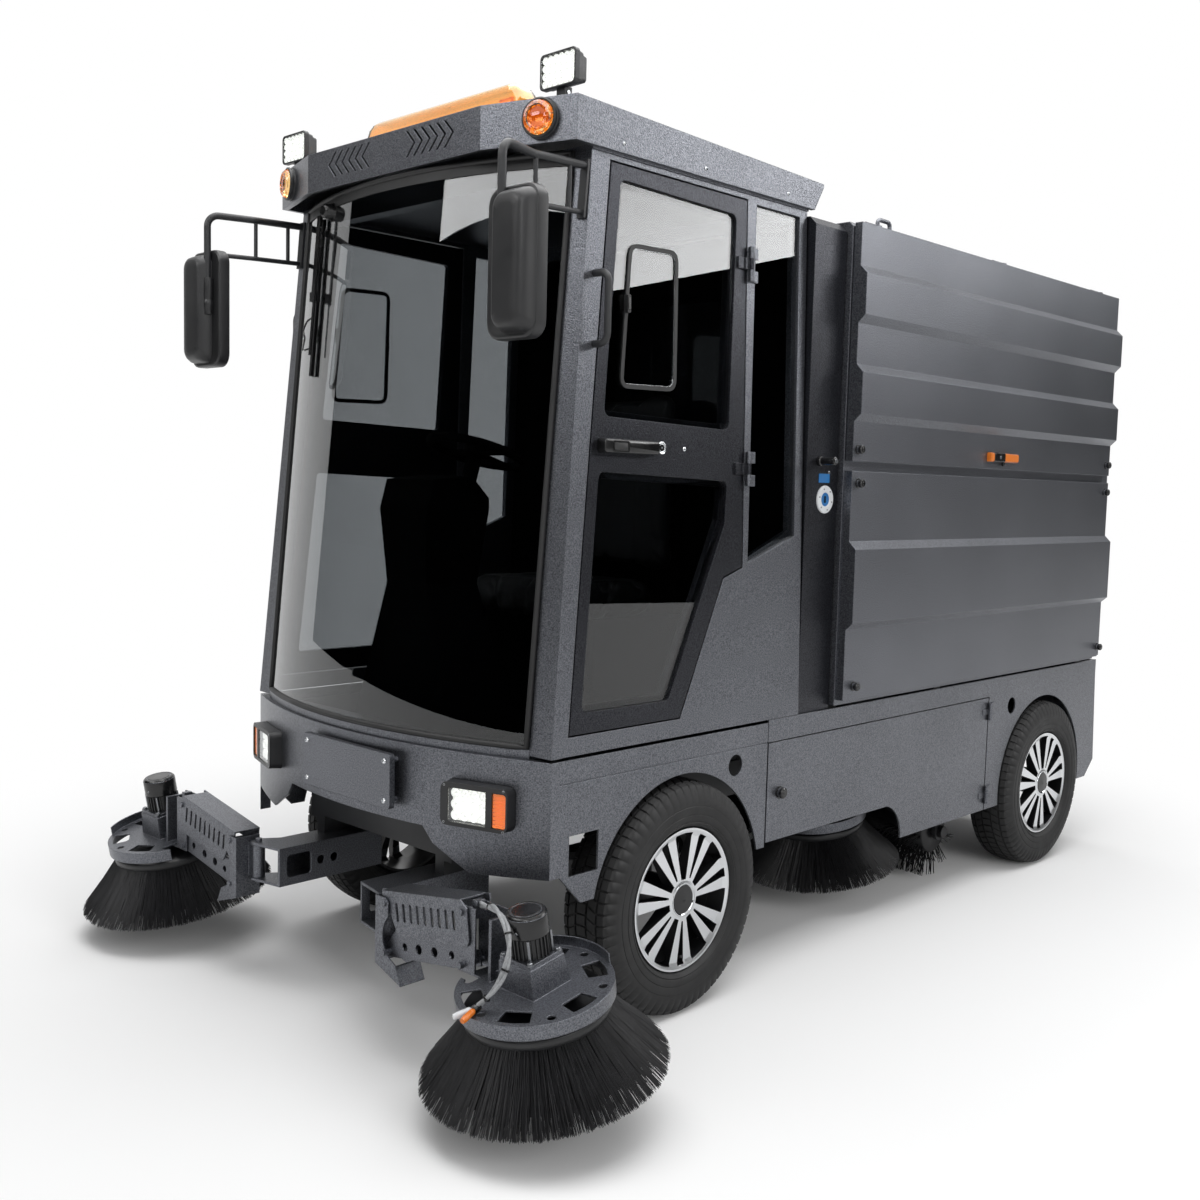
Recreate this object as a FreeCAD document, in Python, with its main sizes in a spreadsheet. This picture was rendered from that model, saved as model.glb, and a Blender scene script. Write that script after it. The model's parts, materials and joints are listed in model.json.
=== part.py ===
import FreeCAD, Part
import math
import os
import re

import Sketcher

# Street sweeper with an electric cab chassis, four side brushes and one roller.
# Millimetres. The truck faces -Y, +X is its own left side and +Z is up.
# Every place below is measured from the front axle's centre on the ground.
# FRAME_Y then moves each sub-part so that the origin is under the middle.

SIZES = {
    # chassis and wheels
    "wheelbase": 1932, "rear_overhang": 440, "half_track": 535,
    "tyre_radius": 289, "tyre_width": 155, "side_wall": 113, "tread_crown": 5,
    "hub_cap_radius": 36, "spoke_root": 46,
    "axle_height": 289, "kingpin_offset": 430, "kingpin_radius": 12,
    "spindle_radius": 25, "running_gap": 0.05, "lug_gap": 0.5,
    "rail_offset": 260, "rail_width": 60, "rail_bottom": 400, "rail_height": 100,
    "rail_front": 470, "axle_beam": 50, "knuckle_lug": 29,
    "steer_arm": 120, "tie_pin_radius": 8, "tie_eye_radius": 15,
    # lower body
    "half_width": 589, "sheet": 6, "sill_top": 690, "arch_radius": 308,
    "front_corner": 442, "nose_reach": 567, "nose_arc": 1450, "pillar_rake": 111,
    "seat_gap": 0.3, "lamp_offset": 427, "lamp_height": 572, "lamp_wide": 177, "lamp_tall": 101,
    "lamp_reach": 31,
    "plate_centre": 28, "plate_half": 178, "plate_low": 530, "plate_high": 659,
    "front_skirt": 424, "nose_skirt": 500, "panel_seam": 333, "panel_gap": 3,
    "band_bottom": 631, "skirt_step": 256, "skirt_bottom": 365,
    "service_reach": 402, "rear_reach": 419, "hole_radius": 27.5,
    # cab
    "side_lean": 1.43, "cab_wall": 30, "cab_top": 2005, "cab_floor_top": 660,
    "floor_sheet": 20, "cab_back": 446,
    "door_front_low": 390, "door_front_high": 270, "door_rear": 211,
    "door_bottom": 737, "door_top": 1989, "door_kink": 1092,
    "door_gap": 4, "glass_sheet": 6, "glass_seat": 14, "window_corner": 18,
    "roof_bottom": 2010, "roof_top": 2105, "roof_half_width": 569,
    "roof_front": 460, "roof_corner": 390, "roof_facet": 337, "roof_rear": 516,
    "roof_fall": 24, "marker_offset": 485, "marker_radius": 43,
    "louvre_first": 107, "louvre_pitch": 28, "louvre_reach": 29, "louvre_rise": 30, "louvre_width": 8,
    "glass_low_half": 519, "glass_high_half": 508,
    # hopper
    "hopper_front": 614, "hopper_reach": 356, "hopper_bottom": 700,
    "hopper_top": 2000, "hopper_half": 600, "hopper_wall": 25,
    "rib_base": 624, "rib_crest": 645, "hatch_bottom": 1367,
    "tailgate": 40, "hinge_rise": 8, "hinge_set": 20, "hinge_barrel": 7, "hinge_pin": 4,
    # front brushes
    "head_reach": 168, "brush_ahead": 602, "brush_tip_height": 116,
    "brush_radius": 258, "brush_tilt": 10.2, "bristle_top_radius": 150,
    "cover_radius": 161, "cover_low": 151, "cover_high": 181,
    "cover_sheet": 4, "lip_height": 22, "mount_top": 240, "mount_half": 46, "motor_core": 36,
    "cap_low": 295, "motor_radius": 42, "motor_high": 339, "cable_radius": 3.8, "plug_radius": 6.5,
    "arm_inner": 171, "arm_outer": 262, "arm_front": 640, "arm_bottom": 269,
    "arm_top": 366, "arm_rear": 330, "arm_wall": 6,
    "swing_x": 268, "swing_y": 640, "swing_pin": 8, "swing_ear": 20,
    "link_inner_x": 327, "link_low_z": 252, "link_spacing": 112,
    "link_length": 258, "link_slope": 9.5, "link_pin": 7,
    "link_front": 683, "link_rear": 611, "link_sheet": 4, "link_play": 1.5,
    "slot_pitch": 24.3, "slot_width": 9,
    # mid brushes and roller
    "mid_offset": 276, "mid_y": 1046, "mid_top_radius": 150,
    "roller_reach": 450, "roller_radius": 160, "roller_half": 440,
    "roller_height": 166, "roller_shaft": 20,
}

# places that follow from the sizes
PLACES = {
    "service_rear": "wheelbase - service_reach",
    "rear_face": "wheelbase + rear_reach",
    "hopper_rear": "wheelbase + hopper_reach",
    "roller_y": "wheelbase - roller_reach",
    "rim_radius": "tyre_radius - side_wall",
    "brush_offset": "link_inner_x + link_length + head_reach",
    "crown_z": "link_low_z + link_spacing",
}

SPOKE_PAIRS = 7
COVER_WINDOWS = 6
LINK_SLOTS = 9
LOUVRES = 6

document = FreeCAD.newDocument("StreetSweeper")
sheet = document.addObject("Spreadsheet::Sheet", "Sizes")
for row, (alias, value) in enumerate(SIZES.items(), start=1):
    sheet.set("A%d" % row, alias)
    sheet.set("B%d" % row, str(value))
    sheet.setAlias("B%d" % row, alias)
document.recompute()

FRAME_Y = "(brush_ahead + brush_radius - wheelbase - rear_overhang) / 2"
PARTS = []
WORD = re.compile(r"[a-z][a-z_0-9]*")
ALONG = {"X": FreeCAD.Vector(1, 0, 0), "Y": FreeCAD.Vector(0, 1, 0), "Z": FreeCAD.Vector(0, 0, 1)}


def named(text):
    """Give an expression in which each word is a cell of the sheet or a place worked out from cells."""
    def cell(match):
        word = match.group()
        if word in PLACES:
            return "(%s)" % named(PLACES[word])
        return "Sizes." + word if word in SIZES else word
    return WORD.sub(cell, str(text))


def size(text):
    """Give the number that an expression has now."""
    return float(sheet.evalExpression(named(text)))


def bind(thing, **texts):
    """Bind properties of an object to expressions of the sheet."""
    for name, text in texts.items():
        thing.setExpression(name, named(text))


def place(thing, x=0, y=0, z=0, axis="Z", turn=0):
    """Bind an object's place, and its turn in degrees about one axis."""
    thing.Placement = FreeCAD.Placement(FreeCAD.Vector(), FreeCAD.Rotation(ALONG[axis], 1))
    for letter, text in zip("xyz", (x, y, z)):
        thing.setExpression("Placement.Base." + letter, named(text))
    thing.setExpression("Placement.Rotation.Angle", named(turn))
    return thing


# ---- bodies made from sketches ----

def new_body(name):
    """Start an empty body."""
    return document.addObject("PartDesign::Body", name)


def sketch_on(body, plane, level):
    """Attach a sketch to one of its own body's planes, at a level along the normal."""
    sketch = body.newObject("Sketcher::SketchObject", "Sketch")
    planes = [item for item in body.Origin.OriginFeatures if item.Role == plane + "_Plane"]
    sketch.AttachmentSupport = [(planes[0], "")]
    sketch.MapMode = "FlatFace"
    sketch.setExpression("AttachmentOffset.Base.z", named(level))
    return sketch


def pin_point(sketch, index, end, u, v):
    """Tie one end of an edge to two expressions."""
    for kind, text in (("DistanceX", u), ("DistanceY", v)):
        number = sketch.addConstraint(Sketcher.Constraint(kind, -1, 1, index, end, size(text)))
        if not isinstance(text, (int, float)):
            sketch.setExpression("Constraints[%d]" % number, named(text))


def arc_between(first, last, radius, side):
    """Give the short arc from first to last, with its centre on the left (1) or right (-1)."""
    chord = last - first
    middle = (first + last) * 0.5
    across = FreeCAD.Vector(-chord.y, chord.x, 0).normalize()
    centre = middle + across * side * math.sqrt(radius ** 2 - (chord.Length / 2) ** 2)
    circle = Part.Circle(centre, FreeCAD.Vector(0, 0, 1), radius)
    begin, end = (first, last) if side > 0 else (last, first)
    angles = [math.atan2(p.y - centre.y, p.x - centre.x) for p in (begin, end)]
    return Part.ArcOfCircle(circle, angles[0], angles[1])


def draw_outline(sketch, points):
    """Draw a closed outline. A point (u, v, radius, side) starts an arc, (u, v) a line."""
    places = [FreeCAD.Vector(size(p[0]), size(p[1]), 0) for p in points]
    count = len(points)
    ends = []
    for number, point in enumerate(points):
        first = places[number]
        last = places[(number + 1) % count]
        if len(point) == 4:
            edge = arc_between(first, last, size(point[2]), point[3])
            index = sketch.addGeometry(edge, False)
            rule = sketch.addConstraint(Sketcher.Constraint("Radius", index, size(point[2])))
            sketch.setExpression("Constraints[%d]" % rule, named(point[2]))
            ends.append((index, 1, 2) if point[3] > 0 else (index, 2, 1))
        else:
            index = sketch.addGeometry(Part.LineSegment(first, last), False)
            ends.append((index, 1, 2))
    for number in range(count):
        here = ends[number]
        after = ends[(number + 1) % count]
        sketch.addConstraint(Sketcher.Constraint("Coincident", here[0], here[2], after[0], after[1]))
    for number, point in enumerate(points):
        pin_point(sketch, ends[number][0], ends[number][1], point[0], point[1])


def draw_circle(sketch, centre, radius):
    """Draw a circle tied to its centre and radius."""
    middle = FreeCAD.Vector(size(centre[0]), size(centre[1]), 0)
    circle = Part.Circle(middle, FreeCAD.Vector(0, 0, 1), size(radius))
    index = sketch.addGeometry(circle, False)
    rule = sketch.addConstraint(Sketcher.Constraint("Radius", index, size(radius)))
    sketch.setExpression("Constraints[%d]" % rule, named(radius))
    pin_point(sketch, index, 3, centre[0], centre[1])


def draw(sketch, shape):
    """Draw an outline (a list of points) or a circle (a tuple of u, v and radius)."""
    if isinstance(shape, tuple):
        draw_circle(sketch, shape[:2], shape[2])
    else:
        draw_outline(sketch, shape)


def box_outline(u_low, u_high, v_low, v_high):
    """Give the corners of a rectangle."""
    return [(u_low, v_low), (u_high, v_low), (u_high, v_high), (u_low, v_high)]


def round_box(u_low, u_high, v_low, v_high, radius):
    """Rectangular outline with rounded corners, anticlockwise."""
    left, right = "(%s) + %s" % (u_low, radius), "(%s) - %s" % (u_high, radius)
    low, high = "(%s) + %s" % (v_low, radius), "(%s) - %s" % (v_high, radius)
    return [(left, v_low), (right, v_low, radius, 1), (u_high, low), (u_high, high, radius, 1),
            (right, v_high), (left, v_high, radius, 1), (u_low, high), (u_low, low, radius, 1)]


def swung(points, degrees):
    """Turn an outline about its sketch's origin."""
    result = []
    for u, v, *arc in points:
        across = "(%s) * cos(%s) - (%s) * sin(%s)" % (u, degrees, v, degrees)
        along = "(%s) * sin(%s) + (%s) * cos(%s)" % (u, degrees, v, degrees)
        result.append((across, along, *arc))
    return result


def add(body, plane, low, high, shape):
    """Pad a shape from low to high along the plane's axis."""
    level = "-(%s)" % high if plane == "XZ" else low
    sketch = sketch_on(body, plane, level)
    draw(sketch, shape)
    feature = body.newObject("PartDesign::Pad", "Pad")
    feature.Profile = sketch
    bind(feature, Length="(%s) - (%s)" % (high, low))
    document.recompute()
    return feature


def cut(body, plane, low, high, shape):
    """Pocket a shape from low to high along the plane's axis."""
    level = "-(%s)" % low if plane == "XZ" else high
    before = body.Shape.Volume
    sketch = sketch_on(body, plane, level)
    draw(sketch, shape)
    feature = body.newObject("PartDesign::Pocket", "Pocket")
    feature.Profile = sketch
    bind(feature, Length="(%s) - (%s)" % (high, low))
    document.recompute()
    if not body.Shape.Volume < before - 0.5:
        raise ValueError("a pocket cuts nothing in " + body.Label)
    return feature


def slab(name, plane, low, high, shape):
    """Start a body with one pad."""
    body = new_body(name)
    add(body, plane, low, high, shape)
    return body


def soften(body, radius, corners):
    """Round the edges that run along X through the given corners (y, z) of a sheet."""
    document.recompute()
    tip = body.Tip
    places = [(size(u), size(v)) for u, v in corners]
    names = []
    for number, edge in enumerate(tip.Shape.Edges, start=1):
        first, last = edge.Vertexes[0].Point, edge.Vertexes[-1].Point
        upright = abs(first.y - last.y) < 0.01 and abs(first.z - last.z) < 0.01
        if upright and any(math.hypot(first.y - u, first.z - v) < 0.5 for u, v in places):
            names.append("Edge%d" % number)
    fillet = body.newObject("PartDesign::Fillet", "Round")
    fillet.Base = (tip, names)
    fillet.setExpression("Radius", named(radius))
    return fillet


def turned(name, plane, axis, shape):
    """Turn a profile fully about an axis of its sketch (H_Axis or V_Axis)."""
    body = new_body(name)
    sketch = sketch_on(body, plane, 0)
    draw(sketch, shape)
    feature = body.newObject("PartDesign::Revolution", "Revolution")
    feature.Profile = sketch
    feature.ReferenceAxis = (sketch, [axis])
    feature.Angle = 360
    document.recompute()
    return body


def lofted(name, plane, sections):
    """Loft a body through outlines at levels: a list of (level, outline)."""
    body = new_body(name)
    sketches = []
    for level, shape in sections:
        sketch = sketch_on(body, plane, level)
        draw(sketch, shape)
        sketches.append(sketch)
    feature = body.newObject("PartDesign::AdditiveLoft", "Loft")
    feature.Profile = sketches[0]
    feature.Sections = sketches[1:]
    feature.Ruled = True
    document.recompute()
    return body


def repeat_round(body, features, count, axis):
    """Repeat features round one of the body's own axes."""
    pattern = body.newObject("PartDesign::PolarPattern", "Round")
    pattern.Originals = features
    axes = [item for item in body.Origin.OriginFeatures if item.Role == axis + "_Axis"]
    pattern.Axis = (axes[0], [""])
    pattern.Angle = 360
    pattern.Occurrences = count
    body.Tip = pattern
    document.recompute()
    return pattern


# ---- primitives and booleans ----

def block(low, high):
    """Make a box between two corners."""
    box = document.addObject("Part::Box", "Box")
    for name, start, end in zip(("Length", "Width", "Height"), low, high):
        bind(box, **{name: "(%s) - (%s)" % (end, start)})
    return place(box, *low)


def rod(start, axis, length, radius):
    """Make a cylinder from a point along X, Y or Z."""
    cylinder = document.addObject("Part::Cylinder", "Rod")
    bind(cylinder, Radius=radius, Height=length)
    turns = {"X": ("Y", 90), "Y": ("X", -90), "Z": ("Z", 0)}
    return place(cylinder, *start, *turns[axis])


def tube_through(name, points, radius, bend=None):
    """Make a bent round bar: straight runs joined by tangent arcs, as wide as fit if bend is None."""
    places = [FreeCAD.Vector(*(size(text) for text in point)) for point in points]
    edges = []
    start = places[0]
    for before, corner, after in zip(places, places[1:], places[2:]):
        back = (before - corner).normalize()
        ahead = (after - corner).normalize()
        half = back.getAngle(ahead) / 2
        room = 0.45 * min((before - corner).Length, (after - corner).Length)
        arc = room * math.tan(half) if bend is None else size(bend)
        reach = arc / math.tan(half)
        inner = corner + (back + ahead).normalize() * (arc / math.sin(half) - arc)
        edges.append(Part.LineSegment(start, corner + back * reach).toShape())
        edges.append(Part.Arc(corner + back * reach, inner, corner + ahead * reach).toShape())
        start = corner + ahead * reach
    edges.append(Part.LineSegment(start, places[-1]).toShape())
    path = Part.Wire(edges)
    circle = Part.Circle(places[0], places[1] - places[0], size(radius))
    section = Part.Wire([circle.toShape()])
    feature = document.addObject("Part::Feature", name)
    feature.Shape = path.makePipeShell([section], True, True)
    return feature


def join(*things):
    """Fuse objects into one."""
    fuse = document.addObject("Part::MultiFuse", "Joined")
    fuse.Shapes = list(things)
    fuse.Refine = True
    document.recompute()
    return fuse


def less(thing, *tools):
    """Cut tools out of an object."""
    tool = tools[0] if len(tools) == 1 else join(*tools)
    result = document.addObject("Part::Cut", "Less")
    result.Base = thing
    result.Tool = tool
    document.recompute()
    return result


def group(*things):
    """Keep solids that don't touch as one object."""
    compound = document.addObject("Part::Compound", "Group")
    compound.Links = list(things)
    document.recompute()
    return compound


def flipped(thing):
    """Mirror an object to the truck's other side."""
    mirror = document.addObject("Part::Mirroring", "Flipped")
    mirror.Source = thing
    mirror.Normal = FreeCAD.Vector(1, 0, 0)
    mirror.Base = FreeCAD.Vector(0, 0, 0)
    document.recompute()
    return mirror


def keep(label, thing):
    """Name a finished sub-part and move it into the part's own frame."""
    outer = document.addObject("Part::Compound", "Kept")
    outer.Links = [thing]
    outer.Label = label
    bind(outer, **{"Placement.Base.y": FRAME_Y})
    PARTS.append(outer)
    return outer


def keep_sides(name, thing):
    """Name a left sub-part and its mirrored right one."""
    keep("left_" + name, thing)
    keep("right_" + name, flipped(thing))


def keep_pair(label, thing):
    """Name one sub-part made of a left solid and its mirror."""
    keep(label, group(thing, flipped(thing)))


def shifted(point, axis, distance):
    """Give a point moved along one axis."""
    place_of = "XYZ".index(axis)
    return tuple("%s + %s" % (text, distance) if number == place_of else text
                 for number, text in enumerate(point))


def hinge(start, axis, length):
    """Give a hinge's fixed half (two barrels on a pin) and its moving half (one barrel)."""
    third = "(%s) / 3" % length
    moving = less(rod(shifted(start, axis, third), axis, third, "hinge_barrel"),
                  rod(shifted(start, axis, third + " - 1"), axis, third + " + 2", "hinge_pin + running_gap"))
    fixed = join(rod(start, axis, third + " - lug_gap", "hinge_barrel"),
                 rod(shifted(start, axis, "2 * %s + lug_gap" % third), axis,
                     third + " - lug_gap", "hinge_barrel"),
                 rod(start, axis, length, "hinge_pin"))
    return fixed, moving


def on_side(thing):
    """Lean a piece drawn upright (x = 0 outside, z = 0 at the sill) with the cab's side."""
    return place(thing, "half_width", 0, "sill_top", "Y", "-side_lean")


def on_brush(thing, x, y, z):
    """Tilt a piece drawn about the brush's own axis, its tips at z = 0."""
    return place(thing, x, y, z, "X", "brush_tilt")


# ---- chassis ----

RAIL_TOP = "rail_bottom + rail_height"


def chassis_frame():
    """Two rails, cross beams, body outriggers and the roller's hangers."""
    half = "rail_width / 2"
    rail_end = "wheelbase + rear_overhang - 80"
    rail = block(("rail_offset - " + half, "-rail_front", "rail_bottom"),
                 ("rail_offset + " + half, rail_end, RAIL_TOP))
    pieces = [rail, flipped(rail)]
    # cross beams between the rails: columns are y at the front and depth along y
    beams = [("-rail_front", 60), (130, 60), (760, 50), ("wheelbase - 420", 50), (rail_end + " - 60", 60)]
    for front, depth in beams:
        pieces.append(block(("-rail_offset", front, "rail_bottom + 10"),
                            ("rail_offset", "%s + %s" % (front, depth), RAIL_TOP + " - 10")))
    # outriggers under cab and hopper: columns are y at the front, half width and top
    reach = "half_width - sheet"
    risers = [(560, reach, "sill_top - 10"), (1180, reach, "hopper_bottom"), (2180, reach, "hopper_bottom"),
              (-400, 440, "cab_floor_top - floor_sheet"), (300, reach, "cab_floor_top - floor_sheet")]
    for front, wide, top in risers:
        pieces.append(block(("-(%s)" % wide, front, "%s - 40" % top), (wide, "%s + 40" % front, top)))
        post = block(("rail_offset - 25", front, RAIL_TOP), ("rail_offset + 25", "%s + 40" % front, top))
        pieces.extend((post, flipped(post)))
    # front hangers that carry the brush arms
    riser = block(("rail_offset - " + half, "-rail_front", "arm_top"),
                  ("arm_outer", "-arm_rear", "rail_bottom"))
    pieces.extend((riser, flipped(riser)))
    # hangers of the roller, each a plate with a hole for its shaft
    top_beam = block(("-roller_half - 30", "roller_y - 30", "rail_bottom"),
                     ("roller_half + 30", "roller_y + 30", "rail_bottom + 40"))
    hanger = slab("Hanger", "YZ", "roller_half + 10", "roller_half + 22", [
        ("roller_y - 30", "rail_bottom + 40"), ("roller_y - 30", "roller_height", "30", 1),
        ("roller_y", "roller_height - 30", "30", 1), ("roller_y + 30", "roller_height"),
        ("roller_y + 30", "rail_bottom + 40")])
    cut(hanger, "YZ", "roller_half", "roller_half + 40",
        ("roller_y", "roller_height", "roller_shaft + running_gap"))
    pieces.extend((top_beam, hanger, flipped(hanger)))
    keep("chassis_frame", join(*pieces))


def leaf_pack(centre):
    """One arched leaf spring pack under a rail, with its seat on the axle."""
    low = "axle_height + axle_beam / 2"
    spring = slab("Leaves", "YZ", "rail_offset - 25", "rail_offset + 25", [
        ("%s - 280" % centre, "rail_bottom - 14", "700", 1), ("%s + 280" % centre, "rail_bottom - 14"),
        ("%s + 280" % centre, "rail_bottom", "760", -1), ("%s - 280" % centre, "rail_bottom")])
    seat = block(("rail_offset - 30", "%s - 35" % centre, low + " - 20"),
                 ("rail_offset + 30", "%s + 35" % centre, "rail_bottom - 50"))
    return join(spring, seat)


def front_axle():
    """Beam with an eye and an upright pin at each end, on leaf springs."""
    half = "axle_beam / 2"
    beam = block(("-kingpin_offset", "-" + half, "axle_height - " + half),
                 ("kingpin_offset", half, "axle_height + " + half))
    reach = "knuckle_lug + lug_gap + axle_beam / 2"
    pieces = [beam]
    eye = rod(("kingpin_offset", 0, "axle_height - " + half), "Z", "axle_beam", "axle_beam / 2")
    pin = rod(("kingpin_offset", 0, "axle_height - (%s)" % reach), "Z", "2 * (%s)" % reach, "kingpin_radius")
    spring = leaf_pack("0")
    for piece in (eye, pin, spring):
        pieces.extend((piece, flipped(piece)))
    keep("front_axle", join(*pieces))


def rear_axle():
    """Turned axle tube with its motor in the middle, spindles and leaf springs."""
    tube = turned("AxleTube", "XZ", "H_Axis", [
        (0, 0), (0, 95), (70, 95), (95, 70), (95, 36), ("half_track - 90", 36), ("half_track - 90", 48),
        ("half_track - 63", 48), ("half_track - 63", "spindle_radius"),
        ("half_track + 50", "spindle_radius"), ("half_track + 50", 0)])
    place(tube, 0, "wheelbase", "axle_height")
    spring = leaf_pack("wheelbase")
    keep("rear_axle", join(tube, flipped(tube), spring, flipped(spring)))


def knuckle():
    """Left steering knuckle: two lugs round the axle's eye, spindle and arm."""
    half = "axle_beam / 2"
    low = "axle_height - %s - lug_gap - knuckle_lug" % half
    high = "axle_height + %s + lug_gap" % half
    pieces = []
    for bottom in (low, high):
        lug = slab("Lug", "XY", bottom, "%s + knuckle_lug" % bottom, [
            ("kingpin_offset", "-26", "26", -1), ("kingpin_offset - 26", 0, "26", -1),
            ("kingpin_offset", 26), ("kingpin_offset + 40", 26), ("kingpin_offset + 40", -26)])
        pieces.append(lug)
    web = block(("kingpin_offset + 30", -26, low), ("kingpin_offset + 42", 26, "%s + knuckle_lug" % high))
    spindle = rod(("kingpin_offset + 40", 0, "axle_height"), "X", "half_track + 50 - kingpin_offset - 40",
                  "spindle_radius")
    arm = slab("Arm", "XY", low, low + " + 14", [
        ("kingpin_offset - 14", 10), ("kingpin_offset + 14", 10),
        ("kingpin_offset + 14", "steer_arm", "14", 1),
        ("kingpin_offset", "steer_arm + 14", "14", 1), ("kingpin_offset - 14", "steer_arm")])
    pin = rod(("kingpin_offset", "steer_arm", low), "Z", 42, "tie_pin_radius")
    bore = rod(("kingpin_offset", 0, low + " - 5"), "Z", 160, "kingpin_radius + running_gap")
    keep_sides("knuckle", less(join(*pieces, web, spindle, arm, pin), bore))


def tie_rod():
    """Rod with an eye at each end that joins the steering arms."""
    low = "axle_height - axle_beam / 2 - lug_gap - knuckle_lug + 15"
    bar = rod(("-kingpin_offset", "steer_arm", low + " + 11"), "X", "2 * kingpin_offset", 10)
    eyes = []
    holes = []
    for side in (-1, 1):
        x = "%d * kingpin_offset" % side
        eyes.append(rod((x, "steer_arm", low), "Z", 22, "tie_eye_radius"))
        holes.append(rod((x, "steer_arm", low + " - 5"), "Z", 40, "tie_pin_radius + running_gap"))
    keep("tie_rod", less(join(bar, *eyes), *holes))


def wheel_parts():
    """One tyre and one rim, drawn about the X axis with the outer face at +x."""
    half = "tyre_width / 2"
    tread = "tyre_radius - tread_crown"
    tyre = turned("Tyre", "XY", "H_Axis", [
        ("-" + half + " + 16", "rim_radius"), ("-%s" % half, "rim_radius + 34"),
        ("-%s" % half, "%s - 28" % tread), ("-%s + 12" % half, tread), ("-22", "tyre_radius"),
        ("22", "tyre_radius"), ("%s - 12" % half, tread), (half, "%s - 28" % tread),
        (half, "rim_radius + 34"), (half + " - 16", "rim_radius")])
    rim = turned("Rim", "XY", "H_Axis", [
        ("-60", "rim_radius - 1"), ("-60", "rim_radius - 9"),
        ("30", "rim_radius - 14"), ("44", "rim_radius - 24"),
        ("22", "spoke_root - 2"), ("-57", "spoke_root - 2"), ("-57", "spindle_radius + running_gap"),
        ("52", "spindle_radius + running_gap"), ("52", 0), ("68", 0), ("66", "hub_cap_radius - 2"),
        ("62", "hub_cap_radius"), ("62", "hub_cap_radius + 2"), ("66", "hub_cap_radius + 4"),
        ("64", "spoke_root"), ("60", "rim_radius - 20"), ("66", "rim_radius - 6"), ("66", "rim_radius - 1")])
    window = cut(rim, "YZ", 10, 80, [
        (-8, "spoke_root + 3"), (8, "spoke_root + 3"),
        (31, "rim_radius - 15", "rim_radius - 12", 1), (-31, "rim_radius - 15")])
    repeat_round(rim, [window], SPOKE_PAIRS, "X")
    slot = cut(rim, "YZ", 10, 80, swung([
        (-2.5, "spoke_root + 8"), (2.5, "spoke_root + 8"),
        (12, "rim_radius - 13", "rim_radius - 12.5", 1), (-12, "rim_radius - 13")], 180 / SPOKE_PAIRS))
    repeat_round(rim, [slot], SPOKE_PAIRS, "X")
    return tyre, rim


def wheels():
    """Four tyres and four rims, the right ones mirrored."""
    tyre, rim = wheel_parts()
    for end, along in (("front", 0), ("rear", "wheelbase")):
        for name, source in (("tyre", tyre), ("rim", rim)):
            copy = group(source)
            place(copy, "half_track", along, "axle_height")
            keep_sides("%s_%s" % (end, name), copy)


def battery_pack():
    """Plain block for the traction battery between cab and hopper."""
    half = "rail_offset - rail_width / 2 - seat_gap"
    keep("battery_pack", block(("-(%s)" % half, 195, "rail_bottom - 20"),
                               (half, 540, "cab_floor_top - floor_sheet - 45")))


# ---- lower body ----

def nose_edge(inset, rear):
    """Plan outline behind the bowed nose, set in by a distance and closed at y = rear."""
    side = "half_width - %s" % inset
    corner = "-front_corner + %s * 0.9" % inset
    arc = "nose_arc - %s" % inset
    tip = "-nose_reach + %s" % inset
    return [(side, rear), (side, corner, arc, -1), (0, tip, arc, -1), ("-(%s)" % side, corner),
            ("-(%s)" % side, rear)]


def head_lamp(grow):
    """Head lamp housing square to the bowed nose, grown by a clearance."""
    half_wide = "(lamp_wide / 2 + %s)" % grow
    half_tall = "(lamp_tall / 2 + %s)" % grow
    housing = slab("HeadLamp", "XZ", "-lamp_reach", 50,
                   round_box("-" + half_wide, half_wide, "-" + half_tall, half_tall, 18))
    face_y = "-nose_reach + nose_arc - sqrt(nose_arc ^ 2 - lamp_offset ^ 2)"
    return place(group(housing), "lamp_offset", face_y, "lamp_height", "Z", "asin(lamp_offset / nose_arc)")


def tail_lamp(grow):
    """Tail lamp let into the rear panel, grown by a clearance."""
    return block(("440 - %s" % grow, "rear_face - 15", "520 - %s" % grow),
                 ("560 + %s" % grow, "rear_face + 20", "600 + %s" % grow))


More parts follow.
